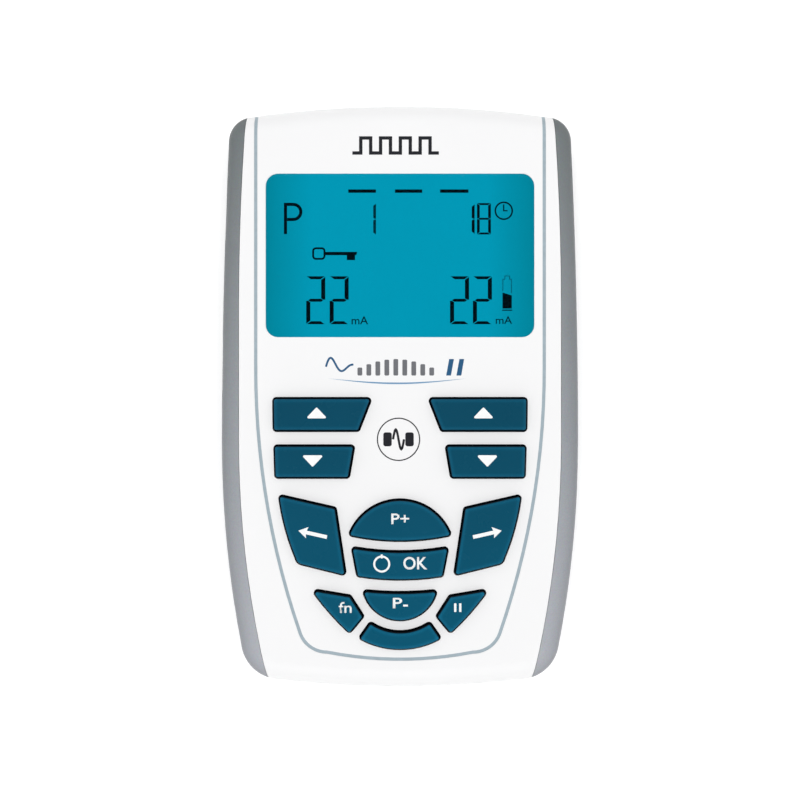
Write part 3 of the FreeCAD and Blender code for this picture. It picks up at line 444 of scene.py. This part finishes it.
def dress_cad(materials):
    """Gives every CAD node the material of its slot."""
    slot_of = {entry["node"]: entry["material_slot"] for entry in frame["record"]["subparts"]}
    for name, thing in frame["nodes"].items():
        thing.data.materials.clear()
        thing.data.materials.append(materials[slot_of[name]])


# ---------------------------------------------------------------- flat shapes

def finish_piece(builder, name, material, body):
    """Turns a bmesh into a named piece that rides on a body."""
    bmesh.ops.remove_doubles(builder, verts=builder.verts, dist=1e-7)
    bmesh.ops.recalc_face_normals(builder, faces=builder.faces)
    mesh = bpy.data.meshes.new(name)
    builder.to_mesh(mesh)
    builder.free()
    piece = bpy.data.objects.new(name, mesh)
    bpy.context.scene.collection.objects.link(piece)
    mesh.materials.append(material)
    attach(piece, body)
    return piece


def flat(base):
    """A placer that puts flat (x, y, height) points on a level surface."""
    def place(x, y, height):
        return Vector((x * MM, y * MM, base + height))
    return place


def under(base):
    """A placer for the back: its surface faces -Z, so height counts downwards."""
    def place(x, y, height):
        return Vector((x * MM, y * MM, base - height))
    return place


def box_outline(low_x, low_y, high_x, high_y):
    """The four corners of a rectangle."""
    return [(low_x, low_y), (high_x, low_y), (high_x, high_y), (low_x, high_y)]


def skin(builder, rings, closed=False):
    """Faces between each ring of vertices and the next; closed joins the last ring to the first too."""
    followers = rings[1:] + rings[:1] if closed else rings[1:]
    for start, end in zip(rings, followers):
        for corner in range(len(start)):
            other = (corner + 1) % len(start)
            builder.faces.new((start[corner], start[other], end[other], end[corner]))


def cap_ends(builder, rings):
    """Faces that close the first and the last ring."""
    builder.faces.new(rings[0])
    builder.faces.new(rings[-1][::-1])


def prism(builder, outline, place, low=-SINK, high=PRINT):
    """A thin closed plate with the given outline."""
    rings = [[builder.verts.new(place(x, y, height)) for x, y in outline] for height in (low, high)]
    skin(builder, rings)
    cap_ends(builder, rings)


def stroke(builder, points, width, place, closed=False, low=-SINK, high=PRINT):
    """A thin closed band of one width along a path, with mitred corners."""
    count = len(points)
    rings = []
    for index, point in enumerate(points):
        here = Vector(point)
        before = Vector(points[index - 1]) if index or closed else None
        after = Vector(points[(index + 1) % count]) if index < count - 1 or closed else None
        first = (here - before).normalized() if before is not None else (after - here).normalized()
        second = (after - here).normalized() if after is not None else first
        across = Vector((-(first.y + second.y), first.x + second.x)).normalized()
        reach = width / 2 / max(0.35, across.dot(Vector((-first.y, first.x))))
        left, right = here + across * reach, here - across * reach
        section = ((left, low), (right, low), (right, high), (left, high))
        rings.append([builder.verts.new(place(side.x, side.y, height)) for side, height in section])
    skin(builder, rings, closed)
    if not closed:
        cap_ends(builder, rings)


def circle(x, y, radius, steps=72, start=0.0, sweep=2 * math.pi):
    """Points round a circle or along an arc of it."""
    whole = sweep >= 2 * math.pi - 1e-9
    turn = sweep / (steps if whole else steps - 1)
    return [(x + radius * math.cos(start + turn * index), y + radius * math.sin(start + turn * index))
            for index in range(steps)]


def rounded_box(low_x, low_y, high_x, high_y, radius, steps=8):
    """The outline of a rectangle with round corners."""
    outline = []
    corners = ((high_x - radius, high_y - radius, 0), (low_x + radius, high_y - radius, 90),
               (low_x + radius, low_y + radius, 180), (high_x - radius, low_y + radius, 270))
    for x, y, turn in corners:
        outline += circle(x, y, radius, steps, math.radians(turn), math.radians(90))
    return outline


def softened(corners, radius, steps=6):
    """A convex outline with its corners rounded."""
    outline = []
    for index, corner in enumerate(corners):
        here = Vector(corner)
        to_before = (Vector(corners[index - 1]) - here).normalized()
        to_after = (Vector(corners[(index + 1) % len(corners)]) - here).normalized()
        half_angle = to_before.angle(to_after) / 2
        middle = here + (to_before + to_after).normalized() * radius / math.sin(half_angle)
        first = here + to_before * radius / math.tan(half_angle) - middle
        last = here + to_after * radius / math.tan(half_angle) - middle
        outline += [tuple(middle + first.slerp(last, step / steps) * radius) for step in range(steps + 1)]
    return outline


def arc_through(start, end, radius, inset, steps):
    """Points along an arc that bulges to the right of the way from start to end, moved inward."""
    first, last = Vector(start), Vector(end)
    chord = last - first
    height = math.sqrt(radius ** 2 - (chord.length / 2) ** 2)
    centre = (first + last) / 2 + Vector((-chord.y, chord.x)).normalized() * height
    from_angle = math.atan2(first.y - centre.y, first.x - centre.x)
    to_angle = math.atan2(last.y - centre.y, last.x - centre.x)
    turn = (to_angle - from_angle) % (2 * math.pi) / steps
    return [(centre.x + (radius - inset) * math.cos(from_angle + turn * step),
             centre.y + (radius - inset) * math.sin(from_angle + turn * step)) for step in range(steps + 1)]


def lettering(text, low_x, low_y, high_x, high_y, place, weight=0.0):
    """A bmesh of thin raised characters that fill a rectangle."""
    curve = bpy.data.curves.new("characters", "FONT")
    curve.body = text
    curve.offset = weight
    curve.resolution_u = 6
    holder = bpy.data.objects.new("characters", curve)
    bpy.context.scene.collection.objects.link(holder)
    bpy.context.view_layer.update()
    mesh = bpy.data.meshes.new_from_object(holder.evaluated_get(bpy.context.evaluated_depsgraph_get()))
    bpy.data.objects.remove(holder)
    builder = bmesh.new()
    builder.from_mesh(mesh)
    bpy.data.meshes.remove(mesh)
    bmesh.ops.remove_doubles(builder, verts=builder.verts, dist=1e-5)
    xs = [vert.co.x for vert in builder.verts]
    ys = [vert.co.y for vert in builder.verts]
    scale_x = (high_x - low_x) / (max(xs) - min(xs))
    scale_y = (high_y - low_y) / (max(ys) - min(ys))
    for vert, x, y in zip(builder.verts, xs, ys):
        vert.co = Vector((low_x + (x - min(xs)) * scale_x, low_y + (y - min(ys)) * scale_y, 0))
    raised = bmesh.ops.extrude_face_region(builder, geom=list(builder.faces), use_keep_orig=True)
    top = {item for item in raised["geom"] if isinstance(item, bmesh.types.BMVert)}
    for vert in builder.verts:
        vert.co = place(vert.co.x, vert.co.y, PRINT if vert in top else -SINK)
    return builder


def merge(target, source):
    """Moves one bmesh's shapes into another."""
    mesh = bpy.data.meshes.new("passing")
    source.to_mesh(mesh)
    source.free()
    target.from_mesh(mesh)
    bpy.data.meshes.remove(mesh)


# ---------------------------------------------------------------- display

def seven_segment(builder, digit, low, high, width, place, gap=0.1):
    """One digit in bars: the outer ones have mitred ends, the middle one is pointed."""
    (left, bottom), (right, top) = low, high
    middle = (bottom + top) / 2
    half, cut = width / 2, width * 0.72
    inner_left, inner_right = left + width, right - width
    lower = [(left + gap, bottom), (inner_left + gap, bottom + cut), (inner_right - gap, bottom + cut),
             (right - gap, bottom)]
    upper_right = [(right, top - gap), (right, middle + gap), (right - half, middle + gap),
                   (inner_right, middle + cut / 2 + gap), (inner_right, top - cut - gap)]
    upper_left = [(left + right - x, y) for x, y in upper_right]
    bars = {
        "a": [(x, bottom + top - y) for x, y in lower],
        "b": upper_right,
        "c": [(x, bottom + top - y) for x, y in upper_right],
        "d": lower,
        "e": [(x, bottom + top - y) for x, y in upper_left],
        "f": upper_left,
        "g": [(left + half, middle), (inner_left, middle + cut / 2), (inner_right, middle + cut / 2),
              (right - half, middle), (inner_right, middle - cut / 2), (inner_left, middle - cut / 2)],
    }
    for key in SEGMENTS_OF[digit]:
        prism(builder, bars[key], place)


def display_marks(materials):
    """Every segment of the display, in three strengths: full, thin and hardly showing."""
    place = flat(GLASS_TOP_Z)
    full, thin, faint = bmesh.new(), bmesh.new(), bmesh.new()
    dash_y = 56.4
    for low_x, high_x in ((-14.2, -6.6), (-1.4, 6.1), (11.0, 18.8)):
        stroke(full, [(low_x, dash_y), (high_x, dash_y)], 0.92, place)
    letter_p(full, place)
    seven_segment(thin, "1", (-9.8, 44.4), (-6.6, 53.0), 0.74, place)
    seven_segment(full, "1", (17.2, 44.6), (20.5, 52.8), 0.80, place)
    seven_segment(full, "8", (21.15, 44.5), (24.95, 53.1), 0.74, place)
    clock_symbol(full, place)
    key_symbol(full, place)
    digit_width, low_y, high_y = 5.22, 19.85, 33.0
    for left, pitch in ((-25.75, 6.43), (13.74, 6.28)):
        for start in (left, left + pitch):
            seven_segment(full, "2", (start, low_y), (start + digit_width, high_y), 1.12, place, 0.16)
    merge(thin, lettering("mA", -13.3, 19.8, -8.75, 22.0, place, 0.008))
    merge(thin, lettering("mA", 26.3, 19.95, 30.8, 22.0, place, 0.008))
    battery_symbol(full, faint, place)
    finish_piece(full, "display_segments", materials["segment_dark"], "housing")
    finish_piece(thin, "display_units", materials["segment_thin"], "housing")
    finish_piece(faint, "display_battery_outline", materials["segment_faint"], "housing")


def letter_p(builder, place):
    """The letter P: a stem that turns over into a round bowl."""
    stem_x, low_y, high_y, bowl_radius = -31.45, 44.6, 52.75, 2.07
    bowl_x, join_x = -29.3, -31.0
    bowl = circle(bowl_x, high_y - bowl_radius, bowl_radius, 14, math.radians(90), math.radians(-180))
    path = [(stem_x, low_y), (stem_x, high_y)] + bowl + [(join_x, high_y - 2 * bowl_radius)]
    stroke(builder, path, 0.86, place)


def clock_symbol(builder, place):
    """A clock face with its two hands."""
    stroke(builder, circle(28.5, 51.0, 2.32), 0.42, place, closed=True)
    hands = [(28.3, 50.85), (29.55, 50.85), (29.55, 51.15), (28.65, 51.15), (28.65, 52.75), (28.3, 52.75)]
    prism(builder, hands, place)


def key_symbol(builder, place):
    """A lock-key sign: a square bow, a shaft and a bit."""
    stroke(builder, rounded_box(-23.85, 37.8, -20.75, 40.7, 0.75), 0.52, place, closed=True)
    shaft_and_bit = [(-20.5, 38.8), (-14.6, 38.8), (-14.6, 37.45), (-12.35, 37.45), (-12.35, 38.8),
                     (-11.95, 38.9), (-11.75, 39.7), (-20.5, 39.7)]
    prism(builder, shaft_and_bit, place)


def battery_symbol(full, faint, place):
    """A battery sign: its dark charge and foot, and the hardly showing rest of its outline."""
    prism(full, [(28.15, 24.15), (30.7, 24.15), (30.7, 27.75), (28.15, 28.55)], place)
    stroke(full, [(28.05, 23.7), (30.85, 23.7)], 0.3, place)
    case = [(28.25, 28.9), (28.25, 32.2), (28.8, 32.2), (28.8, 33.1),
            (30.1, 33.1), (30.1, 32.2), (30.6, 32.2), (30.6, 28.4)]
    stroke(faint, case, 0.2, place)


# ---------------------------------------------------------------- prints

def key_legends(materials):
    """White legends on the keys, each piece riding on its own key."""
    place = flat(KEY_TOP_Z)
    keys = [name for name in frame["bodies"] if name.startswith("key_") and name != "key_blank"]
    legends = {name: bmesh.new() for name in keys}
    for side, word in ((-1, "left"), (1, "right")):
        triangle_legend(legends["key_up_" + word], side * 22.62, 2.9, -5.95, -2.9, 0.3, place)
        triangle_legend(legends["key_down_" + word], side * 23.7, 3.0, -15.95, -19.15, 0.32, place)
        arrow_legend(legends["key_arrow_" + word], side, place)
    words = (("key_program_plus", "P+", (-2.38, -34.65, 2.5, -31.75), 0.014),
             ("key_program_minus", "P", (-1.95, -57.45, 0.58, -54.6), 0.014),
             ("key_ok", "OK", (0.9, -46.95, 7.4, -43.5), 0.018),
             ("key_fn", "fn", (-16.6, -58.7, -13.1, -55.75), 0.01))
    for name, text, box, weight in words:
        merge(legends[name], lettering(text, *box, place, weight))
    minus_y = -56.7
    stroke(legends["key_program_minus"], [(0.85, minus_y), (2.15, minus_y)], 0.52, place)
    power_legend(legends["key_ok"], place)
    for low_x in (14.67, 16.03):
        prism(legends["key_pause"], rounded_box(low_x, -58.45, low_x + 0.62, -56.1, 0.12, 3), place)
    for name, builder in legends.items():
        finish_piece(builder, name.replace("key_", "legend_"), materials["ink_white"], name)


def triangle_legend(builder, x, half_width, base_y, tip_y, radius, place):
    """A triangle with soft corners that points from its base to its tip."""
    corners = [(x - half_width, base_y), (x + half_width, base_y), (x, tip_y)]
    prism(builder, softened(corners, radius), place)


def power_legend(builder, place):
    """A ring with a short bar at its top, which is printed a little thinner so that the two don't fight."""
    x, y, radius = -4.95, -45.45, 2.03
    stroke(builder, circle(x, y, radius), 0.54, place, closed=True)
    stroke(builder, [(x, -43.9), (x, -42.85)], 0.5, place, low=-SINK * 0.9, high=PRINT * 0.9)


def arrow_legend(builder, side, place):
    """A left or right arrow that leans with the key's edge."""
    tip = Vector((side * 27.55, -36.4))
    tail = Vector((side * 19.8, -38.15))
    along = (tip - tail).normalized()
    across = Vector((-along.y, along.x))
    shaft_half, head_half, barb = across * 0.5, across * 1.55, along * 0.25
    neck = tip - along * 2.2
    outline = [tail - shaft_half, neck - shaft_half, neck - head_half - barb, tip,
               neck + head_half - barb, neck + shaft_half, tail + shaft_half]
    prism(builder, [tuple(point) for point in outline], place)


def face_marks(materials):
    """Generic marks on the face in place of names: a pulse train, a level graph and a ring sign."""
    pulses = bmesh.new()
    low_y, high_y, first_x, pitch, lead = 66.4, 70.5, -10.7, 5.4, 2.3
    path = [(first_x - lead, low_y)]
    for count in range(4):
        x = first_x + pitch * count
        path += [(x, low_y), (x, high_y), (x + pitch / 2, high_y), (x + pitch / 2, low_y)]
    path.append((path[-1][0] + 2.4, low_y))
    place = flat(FACE_Z)
    stroke(pulses, path, 0.92, place)
    finish_piece(pulses, "mark_pulse_train", materials["ink_dark"], "housing")
    graph_mark(materials, place)
    ring_mark(materials, place)


def graph_mark(materials, place):
    """Under the display: grey level bars, a blue wave, two blue bars and a pale underline."""
    base_y, bar_width = 5.7, 1.3
    bars = bmesh.new()
    for count in range(9):
        x = -11.6 + 2.45 * count
        height = 1.6 + 2.9 * math.sin(math.pi * (count + 0.6) / 9.2)
        prism(bars, rounded_box(x, base_y, x + bar_width, base_y + height, 0.3, 4), place)
    finish_piece(bars, "mark_level_bars", materials["ink_grey"], "housing")
    wave = bmesh.new()
    stroke(wave, [(-20.2 + 0.25 * step, 8.1 + 3.4 * math.sin(0.2625 * step) * math.exp(-0.06 * step))
                  for step in range(31)], 0.55, place)
    top_y, lean = 10.2, 0.8
    for x in (12.6, 15.4):
        bar = [(x, base_y), (x + bar_width, base_y), (x + bar_width + lean, top_y), (x + lean, top_y)]
        prism(wave, bar, place)
    finish_piece(wave, "mark_wave", materials["ink_blue"], "housing")
    underline = bmesh.new()
    steps = 40
    bends = [math.sin(math.pi * step / steps) for step in range(steps + 1)]
    upper = [(-19.5 + 37.5 * step / steps, 4.9 - 1.1 * bend) for step, bend in enumerate(bends)]
    lower = [(x, y - 0.45 * bend) for (x, y), bend in zip(upper, bends)][1:-1]
    prism(underline, upper[::-1] + lower, place)
    finish_piece(underline, "mark_underline", materials["ink_pale"], "housing")


def ring_mark(materials, place):
    """Between the upper keys: two electrode pads joined by a wave, in a ring."""
    x, y = -0.4, -11.7
    pad_half_width, pad_half_height = 1.15, 1.9
    ring = bmesh.new()
    stroke(ring, circle(x, y, 5.75, 96), 0.32, place, closed=True)
    for centre in (x - 3.0, x + 3.0):
        prism(ring, rounded_box(centre - pad_half_width, y - pad_half_height, centre + pad_half_width,
                                y + pad_half_height, 0.6), place)
    wave = [(x - 1.5 + 0.15 * step, y + 2.7 * math.sin(math.pi * step / 10)) for step in range(21)]
    stroke(ring, wave, 0.62, place)
    finish_piece(ring, "mark_ring", materials["ink_dark"], "housing")


def lens_seal(materials):
    """The thin white bead that fills the gap round the display lens."""
    low, high = (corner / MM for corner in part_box("display_lens"))
    inset = LENS_FLANGE + LENS_GAP / 2
    radius = WINDOW_ROUND - LENS_GAP / 2
    path = rounded_box(low.x + inset, low.y + inset, high.x - inset, high.y - inset, radius)
    bead = bmesh.new()
    stroke(bead, path, LENS_GAP, flat(high.z * MM), closed=True, low=BEAD_LOW * MM, high=BEAD_HIGH * MM)
    finish_piece(bead, "lens_seal", materials["case_white"], "housing")


# ---------------------------------------------------------------- groove inlay

def rim_stations():
    """Stations of the groove at the top end's left side, from the shells' joint up over the round rim."""
    x = GROOVE_X - GROOVE_WIDTH / 2
    tree = surface_tree("front_shell")
    beyond_end = Vector((x * MM, 0.2, 0.024))
    end_y = tree.ray_cast(beyond_end, Vector((0, -1, 0)))[0].y / MM
    bend = RIM_RADIUS - GROOVE_DEPTH
    centre = Vector((-x, end_y - bend, FACE_Z / MM - GROOVE_DEPTH - bend))
    stations = [(Vector((-x, end_y, LINE_LOW_Z)), Vector((0, 1, 0)))]
    steps = 12
    for step in range(steps + 1):
        angle = math.radians(90 * step / steps)
        outward = Vector((0, math.cos(angle), math.sin(angle)))
        stations.append((centre + outward * bend, outward))
    return [(place, Vector((-1, 0, 0)), outward) for place, outward in stations]


def face_stations():
    """Stations of the groove on the flat face, down the left side, round the bottom and up the right side."""
    inset = GROOVE_WIDTH / 2
    start, low_left, end_left = ((-x, y) for x, y in ((GROOVE_X, GROOVE_STRAIGHT_Y), GROOVE_LOW, GROOVE_END))
    path = arc_through(start, low_left, GROOVE_SIDE_RADIUS, inset, 40)
    path += arc_through(low_left, end_left, GROOVE_CORNER_RADIUS, inset, 14)[1:]
    path += arc_through(end_left, GROOVE_END, GROOVE_END_RADIUS, inset, 40)[1:]
    path += arc_through(GROOVE_END, GROOVE_LOW, GROOVE_CORNER_RADIUS, inset, 14)[1:]
    path += arc_through(GROOVE_LOW, (GROOVE_X, GROOVE_STRAIGHT_Y), GROOVE_SIDE_RADIUS, inset, 40)[1:]
    stations = []
    for before, here, after in zip(path[:1] + path, path, path[1:] + path[-1:]):
        way = (Vector(after) - Vector(before)).normalized()
        place = Vector((*here, FACE_Z / MM - GROOVE_DEPTH))
        stations.append((place, Vector((way.y, -way.x, 0)), Vector((0, 0, 1))))
    return stations


def groove_stations():
    """Stations along the groove's floor from the left top end round to the right: place, side, outward."""
    left = rim_stations()
    right = [(Vector((-place.x, place.y, place.z)), -side, outward) for place, side, outward in left[::-1]]
    return left + face_stations() + right


def surface_tree(name):
    """A search tree of a CAD node's surface."""
    mesh = frame["nodes"][name].data
    faces = [tuple(face.vertices) for face in mesh.polygons]
    return BVHTree.FromPolygons([vert.co for vert in mesh.vertices], faces)


def groove_inlay(materials):
    """The blue-grey line: a thin painted strip that lies in the groove."""
    builder = bmesh.new()
    half = GROOVE_WIDTH / 2 - INLAY_GAP
    rings = []
    for place, side, outward in groove_stations():
        low, high = place - outward * INLAY_SUNK, place + outward * INLAY_THICKNESS
        corners = (low + side * half, low - side * half, high - side * half, high + side * half)
        rings.append([builder.verts.new(corner * MM) for corner in corners])
    skin(builder, rings)
    cap_ends(builder, rings)
    finish_piece(builder, "face_line", materials["line_blue"], "housing")


# ---------------------------------------------------------------- back and ends

def back_details(materials):
    """The rating label with its generic signs, and the slide arrow on the battery cover."""
    recess_floor = BACK_Z + LABEL_RECESS * MM
    label = bmesh.new()
    prism(label, rounded_box(-22.6, 34.4, 22.6, 59.6, 1.6), under(recess_floor), 0.0, LABEL_THICKNESS * MM)
    finish_piece(label, "rating_label", materials["label_film"], "housing")
    label_signs(materials, under(recess_floor - LABEL_THICKNESS * MM))
    arrow = bmesh.new()
    prism(arrow, [(-3.0, -1.6), (0.0, -5.6), (3.0, -1.6)], under(BACK_Z), -SINK, SINK / 2)
    finish_piece(arrow, "cover_arrow", materials["ink_grey"], "battery_cover")


def label_signs(materials, place):
    """The double square, the triangle, the row of bars and the three lines on the label."""
    signs = bmesh.new()
    square_x, square_y = 14.0, 40.5
    for size in (3.4, 2.2):
        square = box_outline(square_x - size, square_y - size, square_x + size, square_y + size)
        stroke(signs, square, 0.35, place, closed=True)
    stroke(signs, [(2.0, 37.4), (8.4, 37.4), (5.2, 43.2)], 0.4, place, closed=True)
    row_x = -19.5
    for index in range(22):
        x = row_x + index * 0.82
        width = 0.52 if index % 3 == 0 else 0.22
        prism(signs, box_outline(x, 37.2, x + width, 43.4), place)
    for index, length in enumerate((34.0, 26.0, 30.0)):
        y = 56.0 - 3.4 * index
        stroke(signs, [(row_x, y), (row_x + length, y)], 0.5, place)
    finish_piece(signs, "rating_signs", materials["ink_grey"], "housing")


def socket_rings(materials):
    """A plated contact ring at the mouth of each lead socket."""
    radius_and_depth = ((1.80, -0.8), (1.80, 0.12), (2.0, 0.2), (2.35, 0.2), (2.5, 0.08), (2.5, -0.05),
                        (1.95, -0.05), (1.95, -0.8))
    steps = 48
    for name in ("lead_socket_left", "lead_socket_right"):
        low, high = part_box(name)
        centre = Vector(((low.x + high.x) / 2, SOCKET_FACE_Y, SOCKET_Z * MM))
        builder = bmesh.new()
        rings = []
        for index in range(steps):
            angle = 2 * math.pi * index / steps
            outward = Vector((math.cos(angle), 0, math.sin(angle)))
            rings.append([builder.verts.new(centre + (outward * radius + Vector((0, depth, 0))) * MM)
                          for radius, depth in radius_and_depth])
        skin(builder, rings, closed=True)
        piece = finish_piece(builder, name + "_ring", materials["screw_steel"], "housing")
        for face in piece.data.polygons:
            face.use_smooth = True


# ---------------------------------------------------------------- scene

def make_stage():
    """A plain white table top, which glows more further out, where the overhead light doesn't reach."""
    mesh = bpy.data.meshes.new("table_top")
    corners = box_outline(-FLOOR_HALF, -FLOOR_HALF, FLOOR_HALF, FLOOR_HALF)
    mesh.from_pydata([(x, y, 0) for x, y in corners], [], [(0, 1, 2, 3)])
    floor = bpy.data.objects.new("table_top", mesh)
    floor.location.z = cad_low.z - FLOOR_GAP
    bpy.context.scene.collection.objects.link(floor)
    material, tree = new_material("table_white")
    shader = tree.nodes["Principled BSDF"]
    shader.inputs["Base Color"].default_value = (0.9, 0.9, 0.9, 1)
    shader.inputs["Roughness"].default_value = 0.9
    shader.inputs["Specular IOR Level"].default_value = 0.0
    shader.inputs["Emission Color"].default_value = (1, 1, 1, 1)
    away = node(tree, "ShaderNodeVectorMath", operation="LENGTH")
    tree.links.new(object_position(tree), away.inputs[0])
    glow = remap(tree, away.outputs["Value"], *FLOOR_GLOW, *FLOOR_GLOW_REACH)
    tree.links.new(glow, shader.inputs["Emission Strength"])
    mesh.materials.append(material)


def make_light(name, size_x, size_y, place, energy, mirrored=True):
    """A soft rectangular light aimed at the origin; gloss and glass may be kept from mirroring it."""
    data = bpy.data.lights.new(name, "AREA")
    data.shape = "RECTANGLE"
    data.size = size_x
    data.size_y = size_y
    data.energy = energy
    lamp = bpy.data.objects.new(name, data)
    lamp.location = place
    lamp.visible_glossy = mirrored
    lamp.visible_transmission = mirrored
    lamp.rotation_mode = "QUATERNION"
    lamp.rotation_quaternion = (-Vector(place)).to_track_quat("-Z", "Y")
    bpy.context.scene.collection.objects.link(lamp)


def make_sky():
    """A bright ring of sky that is dim straight overhead, and a little dimmer towards the top end."""
    world = bpy.data.worlds.new("studio")
    world.use_nodes = True
    tree = world.node_tree
    direction = node(tree, "ShaderNodeTexCoord").outputs["Generated"]
    ramp = node(tree, "ShaderNodeValToRGB")
    tree.links.new(coordinate(tree, direction, "Z"), ramp.inputs["Fac"])
    bands = ramp.color_ramp.elements
    bands.remove(bands[0])
    bands[0].position, bands[0].color = SKY_BANDS[0][0], (SKY_BANDS[0][1],) * 3 + (1,)
    for position, level in SKY_BANDS[1:]:
        bands.new(position).color = (level,) * 3 + (1,)
    slope = remap(tree, coordinate(tree, direction, "Y"), SKY_NEAR, SKY_FAR, -1.0, 1.0)
    strength = node(tree, "ShaderNodeMath", operation="MULTIPLY")
    tree.links.new(ramp.outputs["Color"], strength.inputs[0])
    tree.links.new(slope, strength.inputs[1])
    background = tree.nodes["Background"]
    background.inputs["Color"].default_value = (1, 1, 1, 1)
    tree.links.new(strength.outputs["Value"], background.inputs["Strength"])
    bpy.context.scene.world = world


def make_lights():
    """A soft studio: the sky, a weak light from the key end and a broad one overhead."""
    make_sky()
    make_light("key_light", 1.5, 1.1, (0.0, -1.1, 1.2), 1.5)
    make_light("top_light", 0.7, 0.7, (0.0, 0.05, 1.6), 15.8, mirrored=False)


def make_camera():
    """The camera looks straight down on the face."""
    data = bpy.data.cameras.new("camera")
    data.sensor_width = SENSOR_WIDTH
    data.lens = SENSOR_WIDTH * CAMERA_HEIGHT / VIEW_WIDTH
    data.clip_start = 0.01
    camera = bpy.data.objects.new("camera", data)
    camera.location = (0, CAMERA_Y, FACE_Z + CAMERA_HEIGHT)
    bpy.context.scene.collection.objects.link(camera)
    bpy.context.scene.camera = camera


def set_colour_management():
    """Plain sRGB output, without a film curve."""
    bpy.context.scene.view_settings.view_transform = "Standard"
    bpy.context.scene.view_settings.look = "None"


materials = make_materials()
dress_cad(materials)
display_marks(materials)
key_legends(materials)
face_marks(materials)
lens_seal(materials)
groove_inlay(materials)
back_details(materials)
socket_rings(materials)
make_stage()
make_lights()
make_camera()
set_colour_management()
